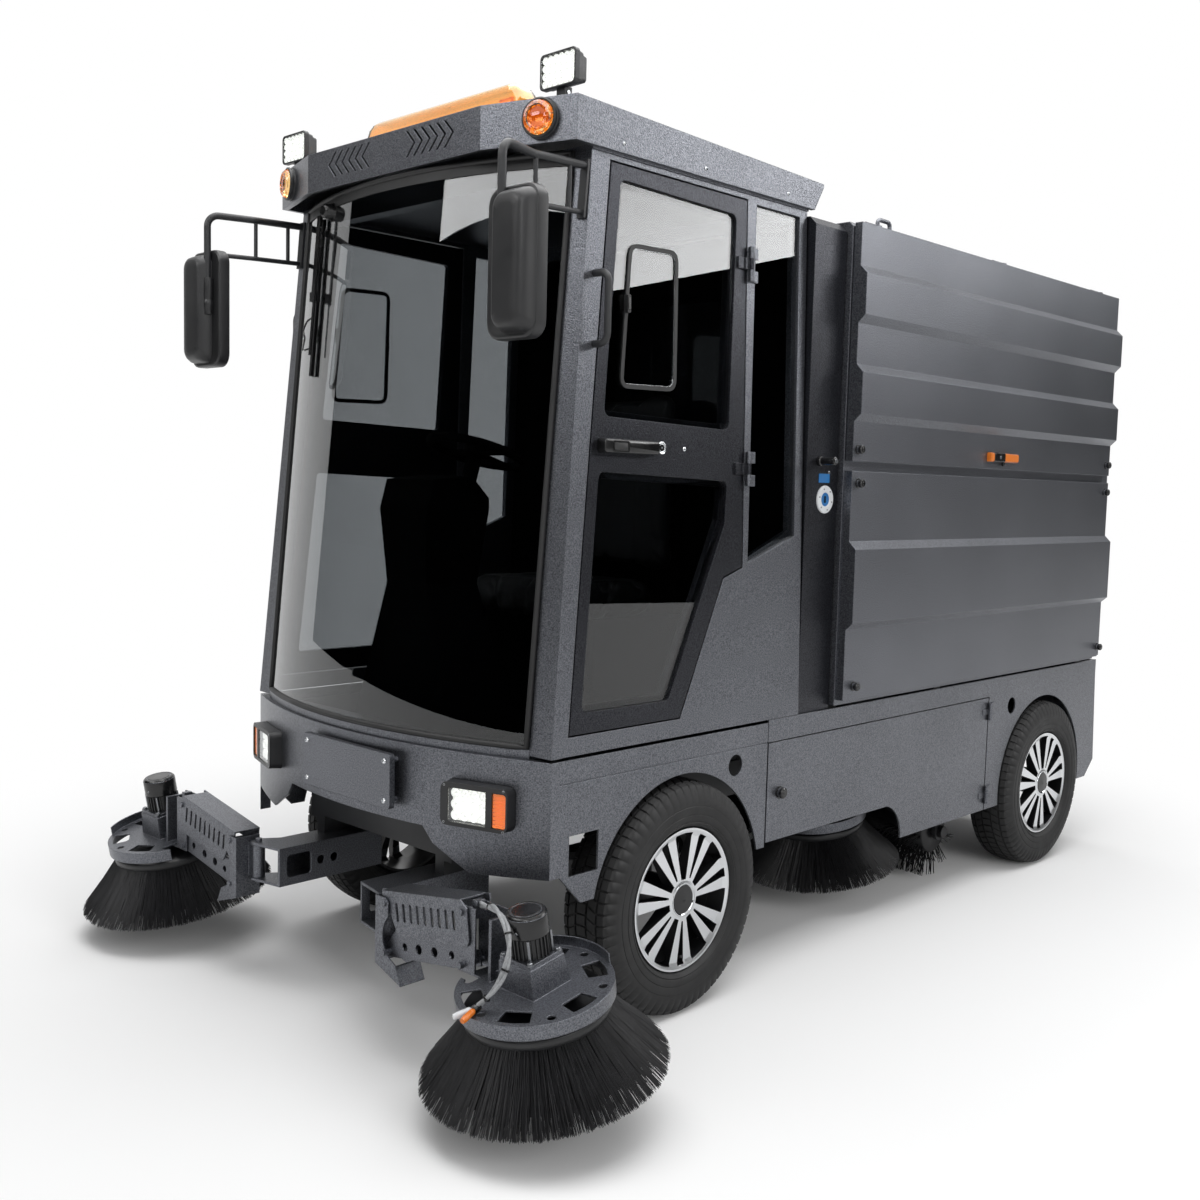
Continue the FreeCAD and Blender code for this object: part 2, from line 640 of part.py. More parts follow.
def front_bumper():
    """Bowed nose folded round to the first seam behind the front wheels."""
    body = slab("Nose", "XY", "skirt_bottom - 11", "sill_top - 7", nose_edge(0, "panel_seam"))
    cut(body, "XY", "skirt_bottom - 30", "sill_top - 13", nose_edge("sheet", "panel_seam + 1"))
    cut(body, "XY", "sill_top - 14", "sill_top", box_outline("-half_width + sheet", "half_width - sheet",
                                                            "-front_corner + 30", "panel_seam + 1"))
    wide = "half_width + 5"
    cut(body, "YZ", "-(%s)" % wide, wide, (0, "axle_height", "arch_radius"))
    # underside of the bowed front, raised in the middle for the brush arms
    low = "skirt_bottom - 40"
    cut(body, "XZ", "-nose_reach - 5", "-front_corner + 32", [
        ("-" + wide, low), (wide, low), (wide, "front_skirt"), (400, "front_skirt - 12"),
        (300, "nose_skirt - 36"), (270, "nose_skirt"), (-270, "nose_skirt"), (-300, "nose_skirt - 36"),
        (-400, "front_skirt - 12"), ("-" + wide, "front_skirt")])
    cut(body, "YZ", "-(%s)" % wide, wide, [
        ("-front_corner + 30", low), ("-350", low), ("-344", "skirt_bottom - 11"),
        ("-front_corner + 30", "front_skirt")])
    cut(body, "YZ", "-(%s)" % wide, wide, box_outline(-384, -291, 420, 512))
    cut(body, "YZ", "-(%s)" % wide, wide, (201, 590, "hole_radius"))
    groove = block(("half_width - 2", "-front_corner + 25", "band_bottom - 1.5"),
                   ("half_width + 5", "panel_seam + 5", "band_bottom + 1.5"))
    plate = slab("Plate", "XZ", "-nose_reach - 21", "-nose_reach - 6", round_box(
        "plate_centre - plate_half", "plate_centre + plate_half", "plate_low", "plate_high", 10))
    posts = [rod((x, "-nose_reach - 8", z), "Y", 24, 6)
             for x in ("plate_centre - plate_half + 20", "plate_centre + plate_half - 20")
             for z in ("plate_low + 18", "plate_high - 18")]
    opening = head_lamp("seat_gap")
    shell = less(body, groove, flipped(groove), opening, flipped(opening))
    keep("front_bumper", join(shell, plate, *posts))


def side_profile():
    """Side outline of the rear shell below the sill, from the seam to the tail."""
    return [("panel_seam + panel_gap", "sill_top"), ("panel_seam + panel_gap", "band_bottom"),
            ("service_rear + panel_gap", "band_bottom"), ("service_rear + panel_gap", "skirt_step"),
            ("wheelbase + 374", "skirt_step"), ("wheelbase + rear_overhang", "skirt_step + 57"),
            ("rear_face", "band_bottom"), ("rear_face", "sill_top")]


SERVICE_HINGES = (555, 279)


def service_hinge(z):
    """Give the fixed and moving halves of one service door hinge."""
    start = ("half_width + hinge_barrel", "service_rear", z)
    fixed, moving = hinge(start, "Z", 56)
    moving_leaf = block(("half_width - 1", "service_rear - 40", "%s + 19" % z),
                        ("half_width + 2.5", "service_rear", "%s + 37" % z))
    parts = []
    for low in (z, z + 38):
        parts.append(block(("half_width - 1", "service_rear + panel_gap", low),
                           ("half_width + 4", "service_rear + 36", low + 18)))
        parts.append(block(("half_width + 1", "service_rear", low),
                           ("half_width + 4", "service_rear + 10", low + 18)))
    return join(fixed, *parts), join(moving, moving_leaf)


def lower_body():
    """Rear shell: both sides with their arches and the tail panel in one."""
    body = slab("Shell", "YZ", "-half_width", "half_width", side_profile())
    inner = "half_width - sheet"
    cut(body, "XY", "skirt_step - 20", "sill_top + 10",
        box_outline("-(%s)" % inner, inner, 300, "rear_face - 14"))
    wide = "half_width + 5"
    cut(body, "YZ", "-(%s)" % wide, wide, ("wheelbase", "axle_height", "arch_radius"))
    cut(body, "YZ", "-(%s)" % wide, wide, (1692, 586, "hole_radius"))
    tail = tail_lamp("seat_gap")
    pieces = [less(body, tail, flipped(tail))]
    for z in SERVICE_HINGES:
        fixed, moving = service_hinge(z)
        pieces.extend((fixed, flipped(fixed)))
    keep("lower_body", join(*pieces))


def service_door():
    """Large skirt door between the wheels, with the step over the roller."""
    front = "panel_seam + panel_gap * 2"
    top = "band_bottom - panel_gap"
    body = slab("ServiceDoor", "YZ", "half_width - sheet", "half_width", [
        (front, top), (front, "skirt_bottom"), (930, "skirt_bottom", "105", -1), (1013, "skirt_step"),
        ("service_rear - panel_gap", "skirt_step"), ("service_rear - panel_gap", top)])
    for z in SERVICE_HINGES:
        body = join(body, service_hinge(z)[1])
    knob = rod(("half_width - 10", 393, 491), "X", 26, 13)
    keep_sides("service_door", join(body, knob))


# ---- cab ----

def side_z(height):
    """Height along the leaning side, from the sill."""
    return "(%s - sill_top)" % height


def door_outline(grow):
    """Outline of the cab door, grown by a distance."""
    return [("-door_front_low - %s" % grow, side_z("door_bottom - %s" % grow)),
            ("-23 + %s" % grow, side_z("door_bottom - %s" % grow)),
            ("136 + %s * 0.8" % grow, side_z("1068 - %s" % grow)),
            ("door_rear + %s" % grow, side_z("door_kink - %s" % grow)),
            ("door_rear + %s" % grow, side_z("door_top + %s" % grow)),
            ("-door_front_high - %s" % grow, side_z("door_top + %s" % grow))]


def upper_light(grow):
    """Outline of the door's upper window."""
    return [("-289 - %s" % grow, side_z("1437 - %s" % grow)),
            ("151 + %s" % grow, side_z("1427 - %s" % grow)),
            ("171 + %s" % grow, side_z("1948 + %s" % grow)),
            ("-240 - %s" % grow, side_z("1957 + %s" % grow))]


def lower_light(grow):
    """Outline of the door's lower window."""
    return [("-353 - %s" % grow, side_z("783 - %s" % grow)), ("-63 + %s" % grow, side_z("782 - %s" % grow)),
            ("140 + %s" % grow, side_z("1196 - %s" % grow)), ("148 + %s" % grow, side_z("1303 + %s" % grow)),
            ("-303 - %s" % grow, side_z("1315 + %s" % grow))]


def quarter_light(grow):
    """Outline of the fixed window behind the door."""
    return [("234 - %s" % grow, side_z("1100 - %s" % grow)), ("432 + %s" % grow, side_z("1166 - %s" % grow)),
            ("432 + %s" % grow, side_z("1986 + %s" % grow)), ("250 - %s" % grow, side_z("1986 + %s" % grow))]


DOOR_HINGES = ((1794, 1878), (1292, 1377))


def door_hinge(low, high):
    """Give the fixed and moving halves of one cab door hinge, drawn on the side's plane."""
    start = ("hinge_barrel + 2", "door_rear + 10", side_z(low))
    fixed, moving = hinge(start, "Z", high - low)
    third = (high - low) / 3
    bottom, top = side_z(low + third), side_z(high - third)
    moving_leaf = block((-1, "door_rear - 36", bottom), (5, "door_rear - 4", top))
    moving_web = block((1, "door_rear - 12", bottom), (8, "door_rear + 9 - hinge_pin", top))
    parts = []
    for start_z, end_z in ((low, low + third - 0.5), (high - third + 0.5, high)):
        parts.append(block((-1, "door_rear + 8", side_z(start_z)), (5, "door_rear + 42", side_z(end_z))))
        parts.append(block((1, "door_rear + 10", side_z(start_z)), (8, "door_rear + 24", side_z(end_z))))
    return join(fixed, *parts), join(moving, moving_leaf, moving_web)


def side_x(height):
    """Outer face of the leaning side at a height."""
    return "half_width - tan(side_lean) * (%s - sill_top)" % height


def cab_frame():
    """Leaning sides with their openings, front pillars, sills and headers."""
    low = 1
    side = slab("Side", "YZ", "-cab_wall", 0, [
        ("-front_corner - 2", low), ("cab_back + 18", low), ("cab_back + 18", side_z("cab_top")),
        ("-front_corner + pillar_rake", side_z("cab_top"))])
    cut(side, "YZ", "-cab_wall - 5", 5, door_outline("door_gap"))
    cut(side, "YZ", "-cab_wall - 5", 5, quarter_light(-14))
    cut(side, "YZ", "-glass_seat", 5, quarter_light(0))
    on_side(side)
    foot_y = "-front_corner"
    head_y = "-front_corner + pillar_rake"
    pillar = lofted("Pillar", "XY", [
        ("sill_top", [("half_width - 66", foot_y + " - 7"), ("half_width", foot_y + " - 2"),
                      ("half_width", foot_y + " + 31"), ("half_width - 50", foot_y + " + 38")]),
        ("cab_top", [("half_width - 79", head_y + " - 6"), ("half_width - 33", head_y),
                     ("half_width - 33", head_y + " + 45"), ("half_width - 79", head_y + " + 39")])])
    header = block(("-roof_half_width + 40", head_y + " + 1", "cab_top - 40"),
                   ("roof_half_width - 40", head_y + " + 41", "cab_top"))
    cowl = bowed_sheet("Cowl", [("sill_top - 7", "half_width - 64", "-front_corner - 9", 108),
                                ("sill_top + 14 - seat_gap", "half_width - 64",
                                 "-front_corner - 9", 108)], 30)
    rear = block(("-roof_half_width + 40", "cab_back - 30", "cab_top - 40"),
                 ("roof_half_width - 40", "cab_back", "cab_top"))
    pieces = [side, pillar]
    for low, high in DOOR_HINGES:
        pieces.append(on_side(door_hinge(low, high)[0]))
    pieces.extend([flipped(piece) for piece in pieces])
    keep("cab_frame", join(*pieces, header, cowl, rear))


def cab_tub():
    """Floor plate and rear wall with its window, welded into one tub."""
    half = "half_width - cab_wall - 2"
    floor = block(("-(%s)" % half, -400, "cab_floor_top - floor_sheet"),
                  (half, "cab_back + 18", "cab_floor_top"))
    wall = slab("BackWall", "XZ", "cab_back", "cab_back + 18", [
        ("-(%s) + 2" % half, "cab_floor_top - 1"), ("%s - 2" % half, "cab_floor_top - 1"),
        ("%s - 34" % half, "cab_top - 1"), ("-(%s) + 34" % half, "cab_top - 1")])
    cut(wall, "XZ", "cab_back - 5", "cab_back + 30", box_outline(-330, 330, 1230, 1800))
    keep("cab_tub", join(floor, wall))


def cab_door():
    """Leaning door with two windows, hinges at its rear edge and its handle."""
    door = slab("Door", "YZ", "-cab_wall", 0, door_outline(0))
    for light in (upper_light, lower_light):
        cut(door, "YZ", "-cab_wall - 5", 5, light(-14))
        cut(door, "YZ", "-glass_seat", 5, light(0))
    for light in (upper_light, lower_light):
        soften(door, "window_corner - 8", light(-14))
        soften(door, "window_corner", light(0))
    on_side(door)
    pieces = [door]
    for low, high in DOOR_HINGES:
        pieces.append(on_side(door_hinge(low, high)[1]))
    grip = block((-4, -304, side_z(1360)), (20, -127, side_z(1384)))
    pieces.append(on_side(less(grip, block((3, -285, side_z(1350)), (13, -150, side_z(1395))))))
    lock = rod((-4, -102, side_z(1374)), "X", 10, 14)
    pieces.append(on_side(group(lock)))
    keep_sides("door", join(*pieces))


def door_glass():
    """Both panes of a door, seated in their rebates."""
    panes = []
    for light in (upper_light, lower_light):
        pane = slab("Pane", "YZ", "-glass_seat", "-glass_seat + glass_sheet", light(0))
        soften(pane, "window_corner", light(0))
        panes.append(on_side(pane))
    keep_sides("door_glass", group(*panes))


def fixed_windows():
    """Quarter panes on both sides and the rear wall's pane."""
    pane = on_side(slab("QuarterPane", "YZ", "-glass_seat", "-glass_seat + glass_sheet", quarter_light(0)))
    back = block((-330, "cab_back + 4", 1230), (330, "cab_back + 4 + glass_sheet", 1800))
    keep("fixed_windows", group(pane, flipped(pane), back))


def bowed_sheet(name, levels, thick):
    """Loft a bowed sheet through plan arcs: columns are level, half width, corner y and bow."""
    sections = []
    for level, half, corner, bow in levels:
        radius = "((%s) * (%s) + %s * %s) / (2 * %s)" % (half, half, bow, bow, bow)
        tip = "(%s) - %s" % (corner, bow)
        deep = "(%s) + %s" % (corner, thick)
        deep_tip = "(%s) + %s" % (tip, thick)
        sections.append((level, [
            (half, corner, radius, -1), (0, tip, radius, -1), ("-(%s)" % half, corner),
            ("-(%s)" % half, deep, radius, 1), (0, deep_tip, radius, 1), (half, deep)]))
    return lofted(name, "XY", sections)


def windshield():
    """One bowed pane between the pillars that leans back to the roof."""
    keep("windshield", bowed_sheet("Windshield", [
        ("sill_top + 14", "glass_low_half", "-front_corner - 9", 108),
        ("cab_top", "glass_high_half", "-front_corner + pillar_rake - 9", 108)],
        "glass_sheet"))


def marker_lamp(grow):
    """Round lamp square to the hood's corner facet, grown by a clearance."""
    lamp = rod((0, -26, 0), "Y", 34, "marker_radius + %s" % grow)
    slope = "(roof_front - roof_corner) / (roof_half_width - roof_facet)"
    y = "-roof_front + (marker_offset - roof_facet) * %s" % slope
    return place(group(lamp), "marker_offset", y, "roof_bottom + 51", "Z", "atan(%s)" % slope)


def roof_cap():
    """Facetted roof hood with a hollow underside."""
    def hood(inset, front_drop):
        side = "roof_half_width - %s" % inset
        corner = "-roof_corner + %s" % front_drop
        front = "-roof_front + %s" % front_drop
        facet = "roof_facet - %s / 2" % inset
        back = "roof_rear - %s" % inset
        return [(side, back), (side, corner), (facet, front), ("-(%s)" % facet, front),
                ("-(%s)" % side, corner), ("-(%s)" % side, back)]
    shell = slab("Hood", "XY", "roof_bottom", "roof_top", hood(0, 0))
    cut(shell, "YZ", "-roof_half_width - 5", "roof_half_width + 5", [
        ("-roof_corner", "roof_top"), ("roof_rear + 5", "roof_top - roof_fall"),
        ("roof_rear + 5", "roof_top + 20"), ("-roof_corner", "roof_top + 20")])
    cut(shell, "YZ", "-roof_half_width - 5", "roof_half_width + 5", [
        ("roof_rear - 40", "roof_bottom - 5"), ("roof_rear + 5", "roof_bottom - 5"),
        ("roof_rear + 5", "roof_top - roof_fall")])
    cut(shell, "XY", "roof_bottom - 5", "roof_top - roof_fall - 30", hood(12, 12))
    ceiling = block(("-roof_half_width + 10", "-roof_corner + 60", "roof_bottom - 5"),
                    ("roof_half_width - 10", "cab_back + 20", "roof_bottom + 6"))
    hole = marker_lamp("seat_gap")
    middle = "(roof_bottom + 55)"
    for index in range(LOUVRES):
        tip = "(louvre_first + %d * louvre_pitch)" % index
        back = tip + " - louvre_reach"
        for mirror in ("", "-"):
            cut(shell, "XZ", "-roof_front - 5", "-roof_front + 20", [
                (mirror + "(%s)" % u, v) for u, v in (
                    (back, middle + " + louvre_rise"), (tip, middle), (back, middle + " - louvre_rise"),
                    (back + " - louvre_width", middle + " - louvre_rise"), (tip + " - louvre_width", middle),
                    (back + " - louvre_width", middle + " + louvre_rise"))])
    keep("roof_cap", less(join(shell, ceiling), hole, flipped(hole)))


# ---- inside the cab ----

def seat_base():
    """Box under the driver's seat."""
    keep("seat_base", join(block((-210, 60, "cab_floor_top"), (210, 420, "cab_floor_top + 270")),
                           block((-190, 400, "cab_floor_top + 260"), (190, 420, "cab_floor_top + 700"))))


def seat_pads():
    """Plain cushion and back rest."""
    cushion = block((-230, -40, "cab_floor_top + 270 + seat_gap"), (230, 320, "cab_floor_top + 370"))
    rest = block((-220, 322, "cab_floor_top + 372"), (220, "400 - seat_gap", "cab_floor_top + 900"))
    keep("seat_pads", group(cushion, rest))


def on_column(thing):
    """Set a piece drawn about the steering wheel's centre on its raked column."""
    return place(group(thing), 0, -171, 1363, "X", -17)


def console():
    """Driver's console: a waisted pedestal that carries the steering column."""
    foot = lofted("Foot", "XY", [
        ("cab_floor_top", box_outline(-205, 205, -395, -190)), (1030, box_outline(-76, 76, -390, -225))])
    head = lofted("Head", "XY", [
        (1030, box_outline(-76, 76, -390, -225)), (1215, box_outline(-95, 95, -400, -205))])
    top = slab("Top", "YZ", -95, 95, [(-400, 1214), (-205, 1214), (-205, 1245), (-262, 1300), (-380, 1288)])
    column = on_column(rod((0, 0, -220), "Z", "209 - seat_gap", 20))
    keep("console", join(foot, head, top, column))


def steering_wheel():
    """Rim, three spokes and hub on the column."""
    ring = document.addObject("Part::Torus", "Ring")
    bind(ring, Radius1=120, Radius2=11)
    hub = rod((0, 0, -11), "Z", 22, 32)
    spokes = [block((-113, -12, -6), (113, 12, 3)), block((-12, 16, -6), (12, 113, 3))]
    keep("steering_wheel", on_column(join(ring, hub, *spokes)))


# ---- hopper ----

HATCH_HINGES = (700, 1420, 2140)
GATE_HINGES = (-460, -30, 400)


def hatch_hinge(y):
    """Give the fixed and moving halves of one hinge over a side hatch."""
    axis_z = "hopper_top + hinge_rise"
    axis_x = "hopper_half - hinge_set"
    fixed, moving = hinge((axis_x, y, axis_z), "Y", 60)
    strap_low = "hopper_top + 1.5"
    strap = block((axis_x + " + hinge_pin + 1", y + 20.5, strap_low),
                  ("hopper_half + 8", y + 39.5, axis_z + " - 1.5"))
    moving_leaf = block(("hopper_half + 3", y + 20.5, "hopper_top - 20"),
                        ("hopper_half + 8", y + 39.5, axis_z + " - 2"))
    parts = [block((axis_x + " - 25", low, "hopper_top - 1"), (axis_x, low + 19.5, "hopper_top + 5"))
             for low in (y, y + 40.5)]
    return join(fixed, *parts), join(moving, strap, moving_leaf)


def gate_hinge(x):
    """Give the fixed and moving halves of one hinge over the tailgate."""
    axis_z = "hopper_top + hinge_rise"
    fixed, moving = hinge((x, "hopper_rear + 6", axis_z), "X", 60)
    moving_leaf = block((x + 20, "hopper_rear + 3", "hopper_top - 20"),
                        (x + 40, "hopper_rear + 8", axis_z + " - hinge_pin - 1"))
    parts = [block((low, "hopper_rear - 30", "hopper_top - 1"),
                   (low + 19.5, "hopper_rear + 6", "hopper_top + 5"))
             for low in (x, x + 40.5)]
    return join(fixed, *parts), join(moving, moving_leaf)


def hopper_box():
    """Hollow hopper: floor, front wall, roof and two sides with hatch openings."""
    shell = slab("Hopper", "XZ", "hopper_front", "hopper_rear", [
        ("-hopper_half", "hopper_bottom"), ("hopper_half", "hopper_bottom"),
        ("hopper_half", "hopper_top - 12"), ("hopper_half - 12", "hopper_top"),
        ("-hopper_half + 12", "hopper_top"), ("-hopper_half", "hopper_top - 12")])
    inner = "hopper_half - hopper_wall"
    cut(shell, "XZ", "hopper_front + hopper_wall", "hopper_rear + 5", [
        ("-(%s)" % inner, "hopper_bottom + hopper_wall"), (inner, "hopper_bottom + hopper_wall"),
        (inner, "hopper_top - hopper_wall"), ("-(%s)" % inner, "hopper_top - hopper_wall")])
    cut(shell, "YZ", "-hopper_half - 5", "hopper_half + 5",
        box_outline("hopper_front + 90", "hopper_rear - 90", "hatch_bottom + 60", "hopper_top - 80"))
    pieces = [shell]
    for y in HATCH_HINGES:
        fixed = hatch_hinge(y)[0]
        pieces.extend((fixed, flipped(fixed)))
    for x in GATE_HINGES:
        pieces.append(gate_hinge(x)[0])
    corners = ((800, "hopper_top - 4"), (800, "hopper_top + 40"),
               (862, "hopper_top + 40"), (862, "hopper_top - 4"))
    eye = tube_through("Eye", [("hopper_half - 45", y, z) for y, z in corners], 6, 12)
    pieces.extend((eye, flipped(eye)))
    keep("hopper_box", join(*pieces))


def ribbed(name, bottom, steps, inner):
    """Pressed panel run along the hopper: steps are (height, outer x)."""
    points = [(inner, bottom)]
    points.extend((wide, height) for height, wide in steps)
    points.append((inner, steps[-1][0]))
    return slab(name, "XZ", "hopper_front + 6", "hopper_rear - 6", points)


def knobs(places):
    """Screw knobs on the ribbed panels at (y, z)."""
    return [rod(("rib_base - 2", y, z), "X", 18, 10) for y, z in places]


def hatch():
    """Upper side door with two pressed ribs, hinged along its top edge."""
    panel = ribbed("Hatch", "hatch_bottom", [
        ("hatch_bottom", "rib_base"), (1474, "rib_base"), (1494, "rib_crest"), (1604, "rib_crest"),
        (1626, "rib_base"), (1734, "rib_base"), (1755, "rib_crest"), (1863, "rib_crest"), (1884, "rib_base"),
        ("hopper_top - 3", "rib_base")], "hopper_half + 2")
    latch = block(("rib_base - 1", 1369, 1391), ("rib_base + 14", 1545, 1417))
    keep_sides("hatch", join(panel, latch, *[hatch_hinge(y)[1] for y in HATCH_HINGES],
                             *knobs([("hopper_front + 29", 1399), ("hopper_rear - 37", 1404)])))


def lower_panels():
    """Fixed ribbed panels under the hatches, with their screw knobs."""
    panel = ribbed("LowerPanel", 716, [
        (716, "rib_base"), (910, "rib_base"), (929, "rib_crest"), (1130, "rib_crest"), (1151, "rib_base"),
        (1341, "rib_base")], "hopper_half")
    keep_pair("lower_panels", join(panel, *knobs([
        ("hopper_front + 36", 1308), ("hopper_rear - 37", 1307),
        ("hopper_front + 55", 752), ("hopper_rear - 23", 747)])))


def rear_door():
    """Tailgate that closes the hopper's back, hinged along its top edge."""
    y = "hopper_rear + 2"
    gate = slab("Tailgate", "XZ", y, "hopper_rear + tailgate", box_outline(
        "-hopper_half", "hopper_half", "hopper_bottom + 5", "hopper_top - 3"))
    for low, high in ((790, 1300), (1380, 1890)):
        cut(gate, "XZ", "hopper_rear + tailgate - 12", "hopper_rear + tailgate + 1",
            box_outline(-500, 500, low, high))
    handles = []
    for x in (-520, 500):
        for z in (850, 990):
            handles.append(block((x, "hopper_rear + tailgate - 1", z),
                                 (x + 20, "hopper_rear + tailgate + 30", z + 20)))
        handles.append(block((x, "hopper_rear + tailgate + 20", 850),
                             (x + 20, "hopper_rear + tailgate + 32", 1010)))
    keep("rear_door", join(gate, *handles, *[gate_hinge(x)[1] for x in GATE_HINGES]))


def service_bay():
    """Housing between cab and hopper."""
    bay = slab("Bay", "XZ", "cab_back + 22", "hopper_front - 3", [
        ("-half_width + 6", "sill_top"), ("half_width - 6", "sill_top"), ("half_width - 6", 1973),
        ("half_width - 26", 1993), ("-half_width + 26", 1993), ("-half_width + 6", 1973)])
    cut(bay, "XZ", "cab_back + 10", "hopper_front", box_outline(
        "-half_width + 40", "half_width - 40", "sill_top - 5", 1960))
    keep("service_bay", bay)


# ---- lamps, mirrors and handles ----

def lamps():
    """Headlamps, roof work lamps and tail lamps."""
    work = block((454, -395, "roof_top + 22"), (564, -350, "roof_top + 98"))
    foot = block((494, -385, "roof_top"), (524, -360, "roof_top + 25"))
    pieces = [head_lamp("0"), join(work, foot), tail_lamp("0")]
    keep("lamps", group(*pieces, *[flipped(piece) for piece in pieces]))


def amber_lamps():
    """Round marker lamps on the hood's corners and the roof beacon bar."""
    marker = marker_lamp("0")
    bar = block((-300, 65, "seat_gap"), (300, 155, 102))
    place(bar, -300, "-roof_corner + 65", "roof_top - 1.4", "X",
          "-atan(roof_fall / (roof_rear + 5 + roof_corner))")
    keep("amber_lamps", group(marker, flipped(marker), bar))


def mirror_tubes(grow):
    """Give a mirror's upper and lower tubes, grown by a clearance."""
    root_x = "half_width - 43"
    outer_x = "half_width - 9"
    root_y = "-front_corner + pillar_rake"
    upper = tube_through("UpperTube", [
        (root_x, root_y + " - 6.6", "cab_top - 36"), (root_x, root_y + " - 160", "cab_top - 42"),
        (outer_x, root_y + " - 276", "cab_top - 42"), (outer_x, root_y + " - 276", "cab_top - 230")],
        "9 + %s" % grow, 30)
    lower = tube_through("LowerTube", [
        (root_x, root_y + " - 15", "cab_top - 136"), (root_x, root_y + " - 160", "cab_top - 142"),
        (outer_x, root_y + " - 268", "cab_top - 142")], "6 + %s" % grow, 30)
    return upper, lower


def mirror_arms():
    """Bent tubes from the pillars that carry the mirrors."""
    root_x = "half_width - 43"
    root_y = "-front_corner + pillar_rake"
    foot = place(group(block((-11, -9.3, -150), (11, -3.3, -25))), root_x, root_y, "cab_top", "X",
                 "-atan(pillar_rake / (cab_top - sill_top))")
    spacers = [rod((root_x, root_y + " - %d" % ahead, "cab_top - 142"), "Z", 102, 5) for ahead in (56, 154)]
    keep_pair("mirror_arms", join(*mirror_tubes("0"), foot, *spacers))


def mirror_heads():
    """Upright mirror housings on the arms' hanging ends."""
    y = "-front_corner + pillar_rake - 304"
    head = slab("MirrorHead", "XZ", y, y + " + 65",
                round_box("half_width - 59", "half_width + 91", "cab_top - 434", "cab_top - 132", 34))
    keep_pair("mirror_heads", less(head, *mirror_tubes("seat_gap")))


def grab_handles():
    """Bent grab bars on the front pillars."""
    y = "-front_corner + pillar_rake + 9"
    bar = tube_through("Bar", [
        (side_x(1590) + " + seat_gap", y, 1590), (side_x(1590) + " + 40", y, 1590),
        (side_x(1590) + " + 40", y, 1742), (side_x(1742) + " + seat_gap", y, 1742)], 8, 22)
    keep_pair("grab_handles", bar)


# ---- front brushes ----

def brush_arms():
    """Box arms under the nose with a forked, rounded front end."""
    arm = slab("Arm", "XY", "arm_bottom", "arm_top", [
        ("arm_inner", "-arm_rear"), ("arm_inner", "-arm_front"), ("swing_x - 24", "-arm_front - 14"),
        ("swing_x", "-swing_y - swing_ear", "swing_ear", 1), ("swing_x + swing_ear", "-swing_y"),
        ("swing_x + swing_ear", "-swing_y + 20"),
        ("arm_outer", "-arm_front + 60"), ("arm_outer", "-arm_rear")])
    inner = "arm_wall"
    cut(arm, "XY", "arm_bottom + arm_wall", "arm_top - arm_wall", [
        ("arm_inner + " + inner, "-arm_rear - 10"), ("arm_inner + " + inner, "-arm_front - 40"),
        ("swing_x + 40", "-arm_front - 40"), ("swing_x + 40", "-swing_y + 34"),
        ("arm_outer - " + inner, "-arm_front + 66"), ("arm_outer - " + inner, "-arm_rear - 10")])
    cut(arm, "XY", "arm_bottom - 5", "arm_top + 5", ("swing_x", "-swing_y", "swing_pin + running_gap"))
    cut(arm, "YZ", "arm_inner - 2", "arm_inner + arm_wall + 2", round_box(
        "-arm_front + 22", "-arm_front + 92", "arm_bottom + 20", "arm_top - 20", 10))
    for ahead in (121, 161):
        cut(arm, "YZ", "arm_inner - 2", "arm_inner + arm_wall + 2",
            ("-arm_front + %d" % ahead, "(arm_bottom + arm_top) / 2", 11))
    keep_pair("brush_arms", arm)


def brush_bracket():
    """Swinging bracket: barrel on the upright pin, back plate, cheeks and foot."""
    low = "arm_bottom + arm_wall + lug_gap"
    high = "arm_top - arm_wall - lug_gap"
    barrel = rod(("swing_x", "-swing_y", low), "Z", "(%s) - (%s)" % (high, low), 16)
    pin = rod(("swing_x", "-swing_y", "arm_bottom - 8"), "Z", "arm_top - arm_bottom + 16", "swing_pin")
    back = "link_inner_x - 32"
    crown = "crown_z + 12"
    neck = block(("swing_x", "-swing_y - 12", low), (back + " + 2", "-swing_y + 12", high))
    front = "-link_front - link_sheet - link_play"
    plate = block((back, front, 222), (back + " + link_sheet", "-link_rear - 10", crown))
    pieces = [barrel, pin, neck, plate]
    for y in (front, "-link_rear - 14"):
        cheek = slab("Cheek", "XZ", y, "(%s) + link_sheet" % y, [
            (back, 222), ("link_inner_x + 60", 192), ("link_inner_x + 42", 232),
            ("link_inner_x + 16", 244, 60, -1), ("link_inner_x + 13", "crown_z - 30"),
            ("link_inner_x + 13", "crown_z + 2"), ("link_inner_x + 3", crown), (back, crown)])
        pieces.append(cheek)
    pieces.append(slab("Foot", "XZ", front, "-link_rear - 10", [
        ("link_inner_x + 55", 193), ("link_inner_x + 60", 192), ("link_inner_x + 42", 232),
        ("link_inner_x + 37", 232)]))
    for z in ("link_low_z", "crown_z"):
        pieces.append(rod(("link_inner_x", front + " - 4", z), "Y",
                          "link_front - link_rear + 14", "link_pin"))
    keep_sides("brush_bracket", join(*pieces))


def link(name, height, cheeks, web):
    """Channel link along X from its inner pin, set at its slope. A cheek is (front y, outline)."""
    pieces = [web]
    for y, outline in cheeks:
        cheek = slab("LinkCheek", "XZ", y, "(%s) + link_sheet" % y, outline)
        for x in ("0", "link_length"):
            cut(cheek, "XZ", "(%s) - 2" % y, "(%s) + link_sheet + 2" % y, (x, 0, "link_pin + running_gap"))
        pieces.append(cheek)
    channel = join(*pieces)
    keep_sides(name, place(channel, "link_inner_x", 0, height, "Y", "-link_slope"))
    return pieces[1]


